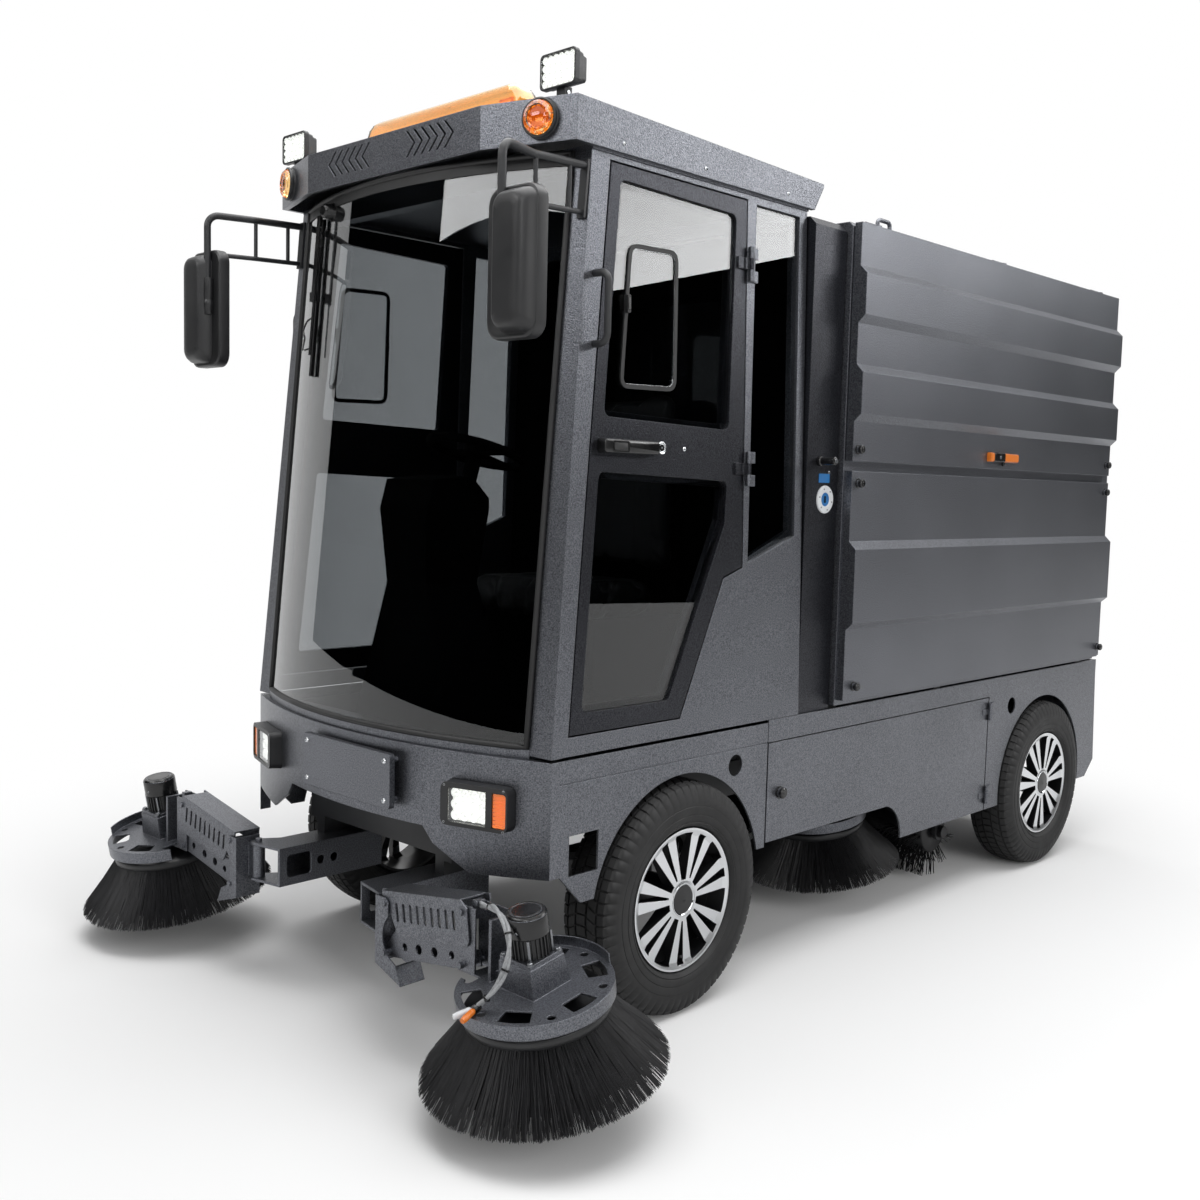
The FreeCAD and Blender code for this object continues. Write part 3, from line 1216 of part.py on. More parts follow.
def upper_link():
    """Slotted cover link over the lower one."""
    front = [(-12, 26), (-12, -14), (11, -20), (27, -59, 20, 1), (46, -72),
             ("link_length - 2", -72, 18, 1), ("link_length + 16", -54), ("link_length + 18", 8),
             ("link_length - 2", 26)]
    rear = box_outline(-12, "link_length + 12", -22, 26)
    web = block((-12, "-link_front", "26 - link_sheet"), ("link_length - 2", "-link_rear", 26))
    cheek = link("upper_link", "crown_z",
                 [("-link_front", front), ("-link_rear - link_sheet", rear)], web)
    end = "slot_width * 0.52"
    for index in range(LINK_SLOTS):
        left = "36 + %d * slot_pitch - slot_width / 2" % index
        right = left + " + slot_width"
        cut(cheek, "XZ", "-link_front - 2", "-link_front + link_sheet + 2", [
            (left, -36, end, 1), (right, -36), (right, -2, end, 1), (left, -2)])


def lower_link():
    """Lower link, a shallow channel with round holes in its front cheek."""
    inner, outer = "-link_front + 2 * link_sheet + 2 * link_play", "-link_rear - 24"
    front = [(-12, 12), (-12, -12), ("link_length + 12", -12), ("link_length + 12", 12),
             ("link_length - 30", 50), (30, 50)]
    rear = box_outline(-12, "link_length + 12", -12, 22)
    web = block((20, inner, -12), ("link_length - 20", outer, "-12 + link_sheet"))
    cheek = link("lower_link", "link_low_z", [(inner, front), ("(%s) - link_sheet" % outer, rear)], web)
    for share, radius in ((0.22, 8.5), (0.41, 10.5), (0.62, 10.5), (0.845, 8.5)):
        cut(cheek, "XZ", "(%s) - 2" % inner, "(%s) + link_sheet + 2" % inner,
            ("%s * link_length" % share, 14, radius))


def head_frame():
    """Upright frame of the brush head that the two links carry."""
    x = "link_inner_x + link_length * cos(link_slope)"
    low = "link_low_z + link_length * sin(link_slope)"
    foot, crown = "(%s) - 14" % low, "(%s) + link_spacing + 14" % low
    front = "-link_front + link_sheet + link_play"
    rear = "-link_rear - 14"
    pieces = []
    for z in (low, "(%s) + link_spacing" % low):
        pieces.append(rod((x, "-link_front - 5", z), "Y", "link_front - link_rear + 9", "link_pin"))
    for y, reach in ((front, 38), (rear, 92)):
        pieces.append(block(("%s - 12" % x, y, foot),
                            ("%s + %s" % (x, reach), "(%s) + link_sheet" % y, crown)))
    pieces.append(block(("%s + 22" % x, front, foot),
                        ("%s + 92" % x, "-link_rear - 10", foot + " + link_sheet")))
    pieces.append(block(("%s + 84" % x, "-link_front + 2", foot),
                        ("%s + 92" % x, "-link_rear - 10", crown + " - 8")))
    pieces.append(block(("%s + 84" % x, "-link_front + 16", foot + " + 6"),
                        ("brush_offset - 20", "-link_rear - 16", foot + " + 24")))
    pieces.append(block(("%s + 16" % x, front, crown + " - 24"), ("%s + 30" % x, rear, crown + " - 10")))
    pieces.append(block(("%s + 16" % x, "-link_front + 16", crown + " - 12"),
                        ("%s + 30" % x, "-link_front + 38", crown + " + 13")))
    return pieces


def motor_cable():
    """Lead of the left motor: out of its clamp, over and down to two plugs on the cover."""
    route = [(-141, -55, 309), (-112, -60, 313), (-78, -78, 323), (-40, -94, 325), (-5, -106, 309),
             (15, -116, 274), (19, -129, 236), (9, -146, 199), (-15, -168, 163)]
    lead = tube_through("Lead", route, "cable_radius")
    collar = rod((0, 0, 0), "Z", 14, "2 * cable_radius")
    plugs = [place(group(rod((0, 0, 8), "Z", 52, "plug_radius")), 0, 0, 0, "Y", turn) for turn in (-15, 15)]
    fitting = place(group(join(collar, *plugs)), -15, -168, 163, "X", 103)
    keep("left_motor_cable", place(group(join(lead, fitting)),
                                   "brush_offset", "-brush_ahead", "brush_tip_height", "X", 0))


def cover_lip(start, stop):
    """Guard that stands on the cover's edge between two angles."""
    inner = "(cover_radius - 3)"
    return slab("Lip", "XY", "cover_high - 1", "cover_high + lip_height", [
        ("cover_radius * cos(%s)" % start, "cover_radius * sin(%s)" % start, "cover_radius", 1),
        ("cover_radius * cos(%s)" % stop, "cover_radius * sin(%s)" % stop),
        (inner + " * cos(%s)" % stop, inner + " * sin(%s)" % stop, "cover_radius - 3", -1),
        (inner + " * cos(%s)" % start, inner + " * sin(%s)" % start)])


def brush_head():
    """Frame, windowed cover plate, motor mount and motor of a side brush."""
    cover = turned("Cover", "XZ", "V_Axis", [
        (0, "cover_high - cover_sheet"), ("cover_radius - cover_sheet", "cover_high - cover_sheet"),
        ("cover_radius - cover_sheet", "cover_low"), ("cover_radius", "cover_low"),
        ("cover_radius", "cover_high"),
        (0, "cover_high")])
    window = cut(cover, "XY", "cover_low", "cover_high + 5", [
        (104, -27), (143, -33, 147, 1), (143, 33), (104, 27)])
    repeat_round(cover, [window], COVER_WINDOWS, "Z")
    hole = cut(cover, "XY", "cover_low", "cover_high + 5", (122, 70, 9))
    repeat_round(cover, [hole], COVER_WINDOWS, "Z")
    cut(cover, "XY", "cover_low - 5", "cover_high + 5", box_outline("-cover_radius - 5", -112, -70, 60))
    wide = "(mount_half + 5)"
    mount = lofted("Mount", "XY", [
        ("cover_high - 1", box_outline("-" + wide, wide, "-" + wide, wide)),
        ("mount_top", box_outline("-mount_half", "mount_half", "-mount_half", "mount_half"))])
    motor = turned("Motor", "XZ", "V_Axis", [
        (0, "mount_top - 2"), ("motor_core", "mount_top - 2"), ("motor_core", "cap_low"),
        ("motor_radius", "cap_low"), ("motor_radius", "motor_high - 5"),
        ("motor_radius - 5", "motor_high"), (0, "motor_high")])
    flange = block(("2 - mount_half", "2 - mount_half", "mount_top - 1"),
                   ("mount_half - 2", "mount_half - 2", "mount_top + 9"))
    shaft = rod((0, 0, "cover_low - 20"), "Z", "cover_high - cover_low + 20", 12)
    frame = head_frame()
    for label, start, stop in (("left_brush_head", 63, 165), ("right_brush_head", -43, 58)):
        head = on_brush(join(cover, mount, motor, flange, shaft, cover_lip(start, stop)),
                        "brush_offset", "-brush_ahead", "brush_tip_height")
        whole = join(head, *frame)
        keep(label, whole if label.startswith("left") else flipped(whole))


def bristle_disc(name, top_radius):
    """Brush: carrier disc and the flared mass of its bristles, tips at z = 0."""
    return turned(name, "XZ", "V_Axis", [
        (0, "cover_low - 26"), ("12 + running_gap", "cover_low - 26"), ("12 + running_gap", "cover_low - 8"),
        (top_radius, "cover_low - 8"), (top_radius, "cover_low - 34"), ("brush_radius", 0),
        ("brush_radius - 110", 0), ("%s - 90" % top_radius, "cover_low - 38"), (0, "cover_low - 38")])


def brushes():
    """Front brushes and mid brushes."""
    front = on_brush(bristle_disc("Brush", "bristle_top_radius"), "brush_offset", "-brush_ahead",
                     "brush_tip_height")
    keep_sides("brush", front)
    mid = on_brush(bristle_disc("MidBrush", "mid_top_radius"), "mid_offset", "mid_y", "brush_tip_height")
    keep_sides("mid_brush", mid)


def mid_brush_heads():
    """Covers, flat motors and carriers of the brushes under the body."""
    cover = turned("MidCover", "XZ", "V_Axis", [
        (0, "cover_high - cover_sheet"), ("cover_radius - cover_sheet", "cover_high - cover_sheet"),
        ("cover_radius - cover_sheet", "cover_low"), ("cover_radius", "cover_low"),
        ("cover_radius", "cover_high"),
        (0, "cover_high")])
    motor = rod((0, 0, "cover_high - 1"), "Z", 62, 48)
    shaft = rod((0, 0, "cover_low - 20"), "Z", "cover_high - cover_low + 20", 12)
    head = on_brush(join(cover, motor, shaft), "mid_offset", "mid_y", "brush_tip_height")
    post = block(("mid_offset - 30", "mid_y - 75", "brush_tip_height + cover_high + 40"),
                 ("mid_offset + 20", "mid_y - 20", "rail_bottom"))
    keep_pair("mid_brush_heads", join(head, post))


def roller():
    """Main roller brush on its shaft."""
    core = turned("Roller", "XZ", "H_Axis", [
        ("-roller_half - 40", 0), ("-roller_half - 40", "roller_shaft"), ("-roller_half", "roller_shaft"),
        ("-roller_half", "roller_radius"), ("roller_half", "roller_radius"), ("roller_half", "roller_shaft"),
        ("roller_half + 40", "roller_shaft"), ("roller_half + 40", 0)])
    keep("roller_brush", place(core, 0, "roller_y", "roller_height"))


MAKERS = [
    chassis_frame, front_axle, rear_axle, knuckle, tie_rod, wheels, battery_pack, front_bumper, lower_body,
    service_door, cab_frame, cab_tub, cab_door, door_glass, fixed_windows, windshield, roof_cap, seat_base,
    seat_pads, console, steering_wheel, hopper_box, hatch, lower_panels, rear_door, service_bay, lamps,
    amber_lamps, mirror_arms, mirror_heads, grab_handles, brush_arms, brush_bracket, upper_link,
    lower_link, brush_head, motor_cable, brushes, mid_brush_heads, roller,
]
for maker in MAKERS:
    maker()
document.recompute()

for item in document.Objects:
    if "Invalid" in item.State or "Error" in item.State:
        raise ValueError("%s (%s) is %s" % (item.Name, item.Label, item.State))
for item in PARTS:
    if item.Shape.isNull() or not item.Shape.isValid() or not item.Shape.Solids:
        raise ValueError(item.Label + " has no valid shape")

os.makedirs("parts", exist_ok=True)
for item in PARTS:
    item.Shape.exportStep("parts/%s.step" % item.Label)
print(len(PARTS), "sub-parts written")
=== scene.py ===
"""Street sweeper truck: finishes, fitted details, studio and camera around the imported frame."""

import json
import logging
import math
import random
from dataclasses import dataclass
from enum import Enum
from typing import Callable, Iterable, Optional, Sequence

import bmesh
import bpy
import numpy as np
from mathutils import Matrix, Vector


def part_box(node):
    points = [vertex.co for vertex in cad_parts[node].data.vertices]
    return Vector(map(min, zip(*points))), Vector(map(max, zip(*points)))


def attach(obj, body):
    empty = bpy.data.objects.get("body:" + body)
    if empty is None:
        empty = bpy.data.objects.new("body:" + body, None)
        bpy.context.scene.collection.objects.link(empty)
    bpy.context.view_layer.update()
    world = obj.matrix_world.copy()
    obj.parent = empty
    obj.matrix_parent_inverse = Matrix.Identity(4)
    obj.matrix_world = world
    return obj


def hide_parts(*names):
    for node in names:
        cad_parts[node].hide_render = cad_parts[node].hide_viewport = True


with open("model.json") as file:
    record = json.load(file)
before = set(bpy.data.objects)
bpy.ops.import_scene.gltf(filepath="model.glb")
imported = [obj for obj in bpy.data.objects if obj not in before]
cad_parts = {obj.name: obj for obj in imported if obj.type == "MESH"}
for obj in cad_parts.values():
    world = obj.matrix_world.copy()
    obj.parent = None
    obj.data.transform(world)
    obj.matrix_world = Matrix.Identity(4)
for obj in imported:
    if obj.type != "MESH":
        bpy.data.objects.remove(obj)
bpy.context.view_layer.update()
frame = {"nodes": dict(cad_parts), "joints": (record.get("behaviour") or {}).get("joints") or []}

logging.basicConfig(level=logging.INFO, format="%(message)s")
LOG = logging.getLogger("sweeper")

Point = tuple[float, float, float]
Flat = tuple[float, float]
Tree = bpy.types.NodeTree
Socket = bpy.types.NodeSocket
MM = 0.001


class Side(Enum):
    """A side of the truck, and the sign of X on it."""

    LEFT = 1
    RIGHT = -1

    @property
    def word(self) -> str:
        """The side's name in node and body names."""
        return self.name.lower()


# ---- finishes ----


def linear(code: str) -> tuple[float, float, float, float]:
    """Turn an sRGB hex colour into linear values.

    Args:
        code: The colour as "#rrggbb".

    Returns:
        Linear red, green and blue with full alpha.
    """
    parts = [int(code[at:at + 2], 16) / 255 for at in (1, 3, 5)]
    low = [c / 12.92 if c <= 0.04045 else ((c + 0.055) / 1.055) ** 2.4 for c in parts]
    return (low[0], low[1], low[2], 1.0)


def add_node(tree: Tree, kind: str, inputs: Optional[dict] = None, **settings) -> bpy.types.Node:
    """Add a node with its settings, values and links.

    Args:
        tree: The tree that takes the node.
        kind: The node's type name after "ShaderNode".
        inputs: Values, or sockets to link from, by input name or number.
        **settings: Properties to set before the inputs.

    Returns:
        The new node.
    """
    node = tree.nodes.new("ShaderNode" + kind)
    for name, value in settings.items():
        setattr(node, name, value)
    for key, value in (inputs or {}).items():
        if isinstance(value, Socket):
            tree.links.new(value, node.inputs[key])
        else:
            node.inputs[key].default_value = value
    return node


def combined(tree: Tree, operation: str, *values) -> Socket:
    """Add a Math node.

    Args:
        tree: The tree that takes the node.
        operation: What it does, in the node's own word.
        *values: Its values, or sockets to link from.

    Returns:
        The result's socket.
    """
    return add_node(tree, "Math", dict(enumerate(values)), operation=operation).outputs[0]


def noise(tree: Tree, spacing: float, detail: float) -> Socket:
    """Add a noise on the piece's own coordinates.

    Args:
        tree: The tree that takes it.
        spacing: How far apart its marks are, in millimetres.
        detail: How many finer layers it has.

    Returns:
        The noise's socket.
    """
    place = add_node(tree, "TexCoord").outputs["Object"]
    return add_node(tree, "TexNoise", {
        "Vector": place, "Scale": 1 / (spacing * MM), "Detail": detail}).outputs["Fac"]


def mixed(tree: Tree, share: Socket, first: str, second: str) -> Socket:
    """Mix two sRGB hex colours.

    Args:
        tree: The tree that takes the node.
        share: How much of the second colour there is.
        first: The colour at 0.
        second: The colour at 1.

    Returns:
        The colour's socket.
    """
    return add_node(tree, "Mix", {0: share, 6: linear(first), 7: linear(second)},
                    data_type="RGBA").outputs[2]


# Half the range of the mixing value in which one colour goes over into the other.
TONE_REACH = 0.275
# The range that most values of a noise lie in.
NOISE_LOW, NOISE_HIGH = 0.3, 0.7
# Size of the patches of gloss beside those of colour.
GLOSS_PATCH = 0.6
# Rays that make the rounded look of an edge.
EDGE_SAMPLES = 4


@dataclass(frozen=True)
class Finish:
    """A surface as it is made. Colours are sRGB, and lengths are in millimetres."""

    name: str
    colour: str
    second: str
    roughness: float
    metallic: float = 0.0
    ior: float = 1.5
    grain: float = 2.0
    relief: float = 0.05
    patch: float = 140.0
    spread: float = 0.06
    edge: float = 0.0
    fleck: float = 0.35
    cloud: float = 1.0
    specular: float = 0.5

    def material(self) -> bpy.types.Material:
        """Build the material once.

        Returns:
            The material of this finish.
        """
        known = bpy.data.materials.get(self.name)
        if known:
            return known
        made = bpy.data.materials.new(self.name)
        made.use_nodes = True
        tree = made.node_tree
        tree.nodes.clear()
        output = add_node(tree, "OutputMaterial")
        tree.links.new(self.surface(tree), output.inputs["Surface"])
        return made

    def tone(self, tree: Tree) -> Socket:
        """Mix the two colours in soft patches with a little of the grain.

        Args:
            tree: The material's tree.

        Returns:
            The colour's socket.
        """
        grain = combined(tree, "MULTIPLY", noise(tree, self.grain, 1.0), self.fleck)
        share = combined(tree, "MULTIPLY_ADD", noise(tree, self.patch, 3.0), self.cloud, grain)
        middle = (self.cloud + self.fleck) / 2
        spread = add_node(tree, "MapRange", {
            "Value": share, "From Min": middle - TONE_REACH, "From Max": middle + TONE_REACH})
        return mixed(tree, spread.outputs[0], self.colour, self.second)

    def soft_edge(self, tree: Tree) -> Socket:
        """Give the normal over edges broken by a small round."""
        return add_node(tree, "Bevel", {"Radius": self.edge * MM}, samples=EDGE_SAMPLES).outputs[0]

    def relief_normal(self, tree: Tree) -> Socket:
        """Give the normal with the grain's relief.

        Args:
            tree: The material's tree.

        Returns:
            The normal's socket.
        """
        inputs = {"Height": noise(tree, self.grain, 2.0), "Distance": self.relief * MM, "Strength": 1.0}
        if self.edge:
            inputs["Normal"] = self.soft_edge(tree)
        return add_node(tree, "Bump", inputs).outputs["Normal"]

    def surface(self, tree: Tree) -> Socket:
        """Build the shader.

        Args:
            tree: The material's tree.

        Returns:
            The shader's output socket.
        """
        gloss = add_node(tree, "MapRange", {
            "Value": noise(tree, self.patch * GLOSS_PATCH, 4.0), "From Min": NOISE_LOW, "From Max": NOISE_HIGH,
            "To Min": self.roughness - self.spread, "To Max": self.roughness + self.spread})
        inputs = {"Base Color": self.tone(tree), "Roughness": gloss.outputs[0], "Metallic": self.metallic,
                  "Specular IOR Level": self.specular, "Normal": self.relief_normal(tree)}
        if self.metallic < 0.5:
            inputs["IOR"] = self.ior
        return add_node(tree, "BsdfPrincipled", inputs).outputs[0]


@dataclass(frozen=True)
class ClearFinish(Finish):
    """Glass or clear plastic. The colour is what one face lets through."""

    def surface(self, tree: Tree) -> Socket:
        """Build clear tinted material that lets lamps through.

        Args:
            tree: The material's tree.

        Returns:
            The shader's output socket.
        """
        glass = add_node(tree, "BsdfPrincipled", {
            "Base Color": self.tone(tree), "Roughness": self.roughness, "IOR": self.ior,
            "Transmission Weight": 1.0, "Normal": self.relief_normal(tree)})
        clear = add_node(tree, "BsdfTransparent", {"Color": linear(self.colour)})
        shadow = add_node(tree, "LightPath").outputs["Is Shadow Ray"]
        return add_node(tree, "MixShader", {
            0: shadow, 1: glass.outputs[0], 2: clear.outputs[0]}).outputs[0]


@dataclass(frozen=True)
class GlowFinish(Finish):
    """A lit or very bright surface, such as the phosphor of a work lamp's diodes; where it lies on the lamps'
    reflector bowls and the plates behind them, its glow is painted light that stands in for their bright
    reflection.
    """

    glow: float = 0.3

    def surface(self, tree: Tree) -> Socket:
        """Build the shader with a little light of its own.

        Args:
            tree: The material's tree.

        Returns:
            The shader's output socket.
        """
        return add_node(tree, "BsdfPrincipled", {
            "Base Color": self.tone(tree), "Roughness": self.roughness, "IOR": self.ior,
            "Emission Color": linear(self.colour), "Emission Strength": self.glow,
            "Normal": self.relief_normal(tree)}).outputs[0]


@dataclass(frozen=True)
class WheelFinish(Finish):
    """Cast alloy, lacquered black and then turned bright on the faces that look outward.

    The hub's place, the cap's radius and the distance at which the rim's face starts are in metres.
    """

    hub_y: float = 0.0
    hub_z: float = 0.0
    cap_radius: float = 0.0375
    face_from: float = 0.574
    square_from: float = 0.86
    ring_spacing: float = 0.9
    ring_depth: float = 0.12
    bloom: str = "#1b1b1d"

    def surface(self, tree: Tree) -> Socket:
        """Build two shaders and choose by which way a face looks.

        Args:
            tree: The material's tree.

        Returns:
            The shader's output socket.
        """
        coordinates = add_node(tree, "TexCoord").outputs
        hub = add_node(tree, "VectorMath", {0: coordinates["Object"], 1: (0.0, self.hub_y, self.hub_z)},
                       operation="SUBTRACT")
        flat = add_node(tree, "VectorMath", {0: hub.outputs[0], 1: (0.0, 1.0, 1.0)}, operation="MULTIPLY")
        radius = add_node(tree, "VectorMath", {0: flat.outputs[0]}, operation="LENGTH").outputs["Value"]
        across = add_node(tree, "CombineXYZ", {"X": radius}).outputs[0]
        rings = add_node(tree, "TexNoise", {
            "Vector": across, "Scale": 1 / (self.ring_spacing * MM), "Detail": 2.0}).outputs["Fac"]
        share = combined(tree, "GREATER_THAN", radius, self.cap_radius)
        for key, least in (("Normal", self.square_from), ("Object", self.face_from)):
            along = add_node(tree, "SeparateXYZ", {0: coordinates[key]}).outputs["X"]
            over = combined(tree, "GREATER_THAN", combined(tree, "ABSOLUTE", along), least)
            share = combined(tree, "MULTIPLY", share, over)
        bump = add_node(tree, "Bump", {
            "Height": rings, "Distance": self.ring_depth * MM, "Strength": 1.0, "Normal": self.soft_edge(tree)})
        bright = add_node(tree, "BsdfPrincipled", {
            "Base Color": linear(self.colour), "Metallic": 1.0, "Roughness": self.roughness,
            "Normal": bump.outputs["Normal"]})
        dark = add_node(tree, "BsdfPrincipled", {
            "Base Color": mixed(tree, noise(tree, self.patch, 3.0), self.second, self.bloom),
            "Roughness": self.roughness, "IOR": self.ior, "Normal": self.relief_normal(tree)})
        return add_node(tree, "MixShader", {0: share, 1: dark.outputs[0], 2: bright.outputs[0]}).outputs[0]


# Steel with baked polyester powder that holds metal flake: a salt-and-pepper grain, bright on edges.
# The real grain is under a millimetre, and is drawn at 3 mm so that it shows.
POWDER = Finish("fine_textured_powder_coat_on_steel", "#4e5055", "#808288", 0.33, metallic=0.88, grain=3.0,
                relief=0.85, patch=320, spread=0.012, edge=2.8, fleck=1.2, cloud=0.2)
# A darker copy of the same powder, on the doors and the filter bay.
DARK_POWDER = Finish("dark_textured_powder_coat_on_steel", "#222327", "#424348", 0.3, metallic=0.88, grain=3.0,
                     relief=0.7, patch=320, spread=0.012, edge=3.2, fleck=1.2, cloud=0.2)
# Chassis steel with satin black paint: plain and a little duller than the panels.
FRAME_PAINT = Finish("satin_enamel_on_chassis_steel", "#1b1c1e", "#242528", 0.45, grain=3.0, relief=0.12, edge=1.5)
# Moulded carbon-black rubber: dull, with a faint grey bloom.
RUBBER = Finish("moulded_tyre_rubber", "#0f0f10", "#19191a", 0.66, ior=1.52, grain=1.6, relief=0.1, patch=60)
# Extruded rubber seal: darker and smoother than the tyre.
SEAL = Finish("extruded_window_seal_rubber", "#0d0d0e", "#141415", 0.55, ior=1.52, grain=1.2, relief=0.04)
# Flocked and moulded parts inside the cab: black, and painted darker still as painted shade of the dim cab, so dark
# that they vanish behind tinted glass.
INTERIOR_PAINTED_SHADE = Finish("flocked_interior_moulding", "#070708", "#0c0c0d", 0.8, ior=1.53, grain=1.4, relief=0.15,
                  specular=0.04)
# Moulded ABS with a leather-like grain from the mould.
MOULDED = Finish("moulded_black_abs", "#141416", "#1d1e20", 0.42, ior=1.53, grain=1.4, relief=0.09, edge=0.8)
# Smooth moulded nylon of caps and knobs: deep black with a soft shine.
GLOSS_BLACK = Finish("moulded_gloss_nylon", "#0b0b0c", "#121213", 0.24, ior=1.53, grain=1.0, relief=0.02, edge=0.6)
# Zinc-plated steel: pale, slightly yellow, softly brushed by tumbling.
ZINC = Finish("zinc_plated_steel", "#b9bbbd", "#9fa2a5", 0.28, metallic=1.0, grain=0.8, relief=0.02, patch=20)
# Polished chrome on steel.
CHROME = Finish("chromed_steel", "#d5d7d9", "#c5c8ca", 0.1, metallic=1.0, grain=0.8, relief=0.005, patch=30)
# Polypropylene bristle: black strands with a soft waxy shine.
BRISTLE = Finish("extruded_polypropylene_bristle", "#0e0e10", "#1d1d20", 0.46, ior=1.49, grain=6.0, relief=0.05,
                 patch=18)
# Bristle stock in shadow between the tufts.
BRISTLE_ROOT = Finish("packed_bristle_roots", "#060607", "#0b0b0c", 0.85, ior=1.49, grain=2.5, relief=0.6)
# Toughened glass with a grey tint: it darkens what is behind and mirrors what is before it.
GLASS = ClearFinish("tinted_toughened_glass", "#abaeb0", "#a7aaac", 0.0, ior=1.5, grain=300, relief=0.0)
# Injection-moulded clear polycarbonate.
LENS = ClearFinish("clear_polycarbonate_lens", "#f4f6f7", "#eef0f2", 0.02, ior=1.585, grain=30, relief=0.0)
# Amber polycarbonate: its yellow tint turns orange over the carriers behind it.
AMBER = ClearFinish("amber_polycarbonate_lens", "#ffd591", "#ffcb80", 0.06, ior=1.585, grain=4, relief=0.1)
# Red polycarbonate of the tail lamps.
RED_LENS = ClearFinish("red_polycarbonate_lens", "#e0201a", "#cf1712", 0.08, ior=1.585, grain=4, relief=0.1)
# Vapour-metallised reflector bowls.
REFLECTOR = Finish("metallised_reflector", "#e2e4e6", "#d3d6d8", 0.14, metallic=1.0, grain=5, relief=0.05, patch=30)
# Phosphor of white light-emitting diodes behind their lenses. The same glowing finish lies on the reflector bowls
# and the plates behind them, where its glow is painted light that stands in for their bright reflection.
DIODE_AND_BOWL_GLOW = GlowFinish("diode_phosphor", "#fbfbf6", "#f1f2ea", 0.35, grain=2, relief=0.05, glow=0.55)
# Amber diodes of the turn lamps and the beacon.
AMBER_GLOW = GlowFinish("amber_diode_panel", "#ffaa3c", "#fa9c26", 0.4, grain=3, relief=0.1, glow=0.25)
# Orange moulded carriers under the amber covers.
AMBER_CORE = Finish("amber_moulded_lamp_carrier", "#e08c2c", "#cc7318", 0.35, ior=1.55, grain=3, relief=0.1)
# Soft vinyl seat cover with an embossed leather grain.
VINYL = Finish("embossed_seat_vinyl", "#0e0f10", "#151617", 0.55, ior=1.5, grain=2.2, relief=0.25, patch=80)
# Front-silvered mirror glass.
MIRROR = Finish("silvered_mirror_glass", "#dfe3e4", "#d6dadb", 0.02, metallic=1.0, grain=200, relief=0.0)
# Braided nylon sleeve of the motor lead: pale grey, woven of fine strands.
SLEEVE = Finish("braided_nylon_sleeve", "#a9abad", "#7f8184", 0.5, ior=1.53, grain=1.6, relief=0.5, patch=6)
# Bare ground steel of shafts and pins.
STEEL = Finish("ground_steel", "#8d8f92", "#77797c", 0.32, metallic=1.0, grain=0.7, relief=0.03, patch=15)
# Orange moulded nylon of the latch handle.
ORANGE = Finish("moulded_orange_nylon", "#e07a1c", "#cf6a10", 0.38, ior=1.53, grain=1.2, relief=0.05, edge=0.5)
# White moulded nylon of the wash port's ring and its blue cap.
WHITE_NYLON = Finish("moulded_white_nylon", "#d6d8da", "#c6c9cc", 0.35, ior=1.53, grain=1.2, relief=0.04)
BLUE_NYLON = Finish("moulded_blue_nylon", "#1f6fae", "#195f99", 0.35, ior=1.53, grain=1.2, relief=0.04)


# ---- meshes ----


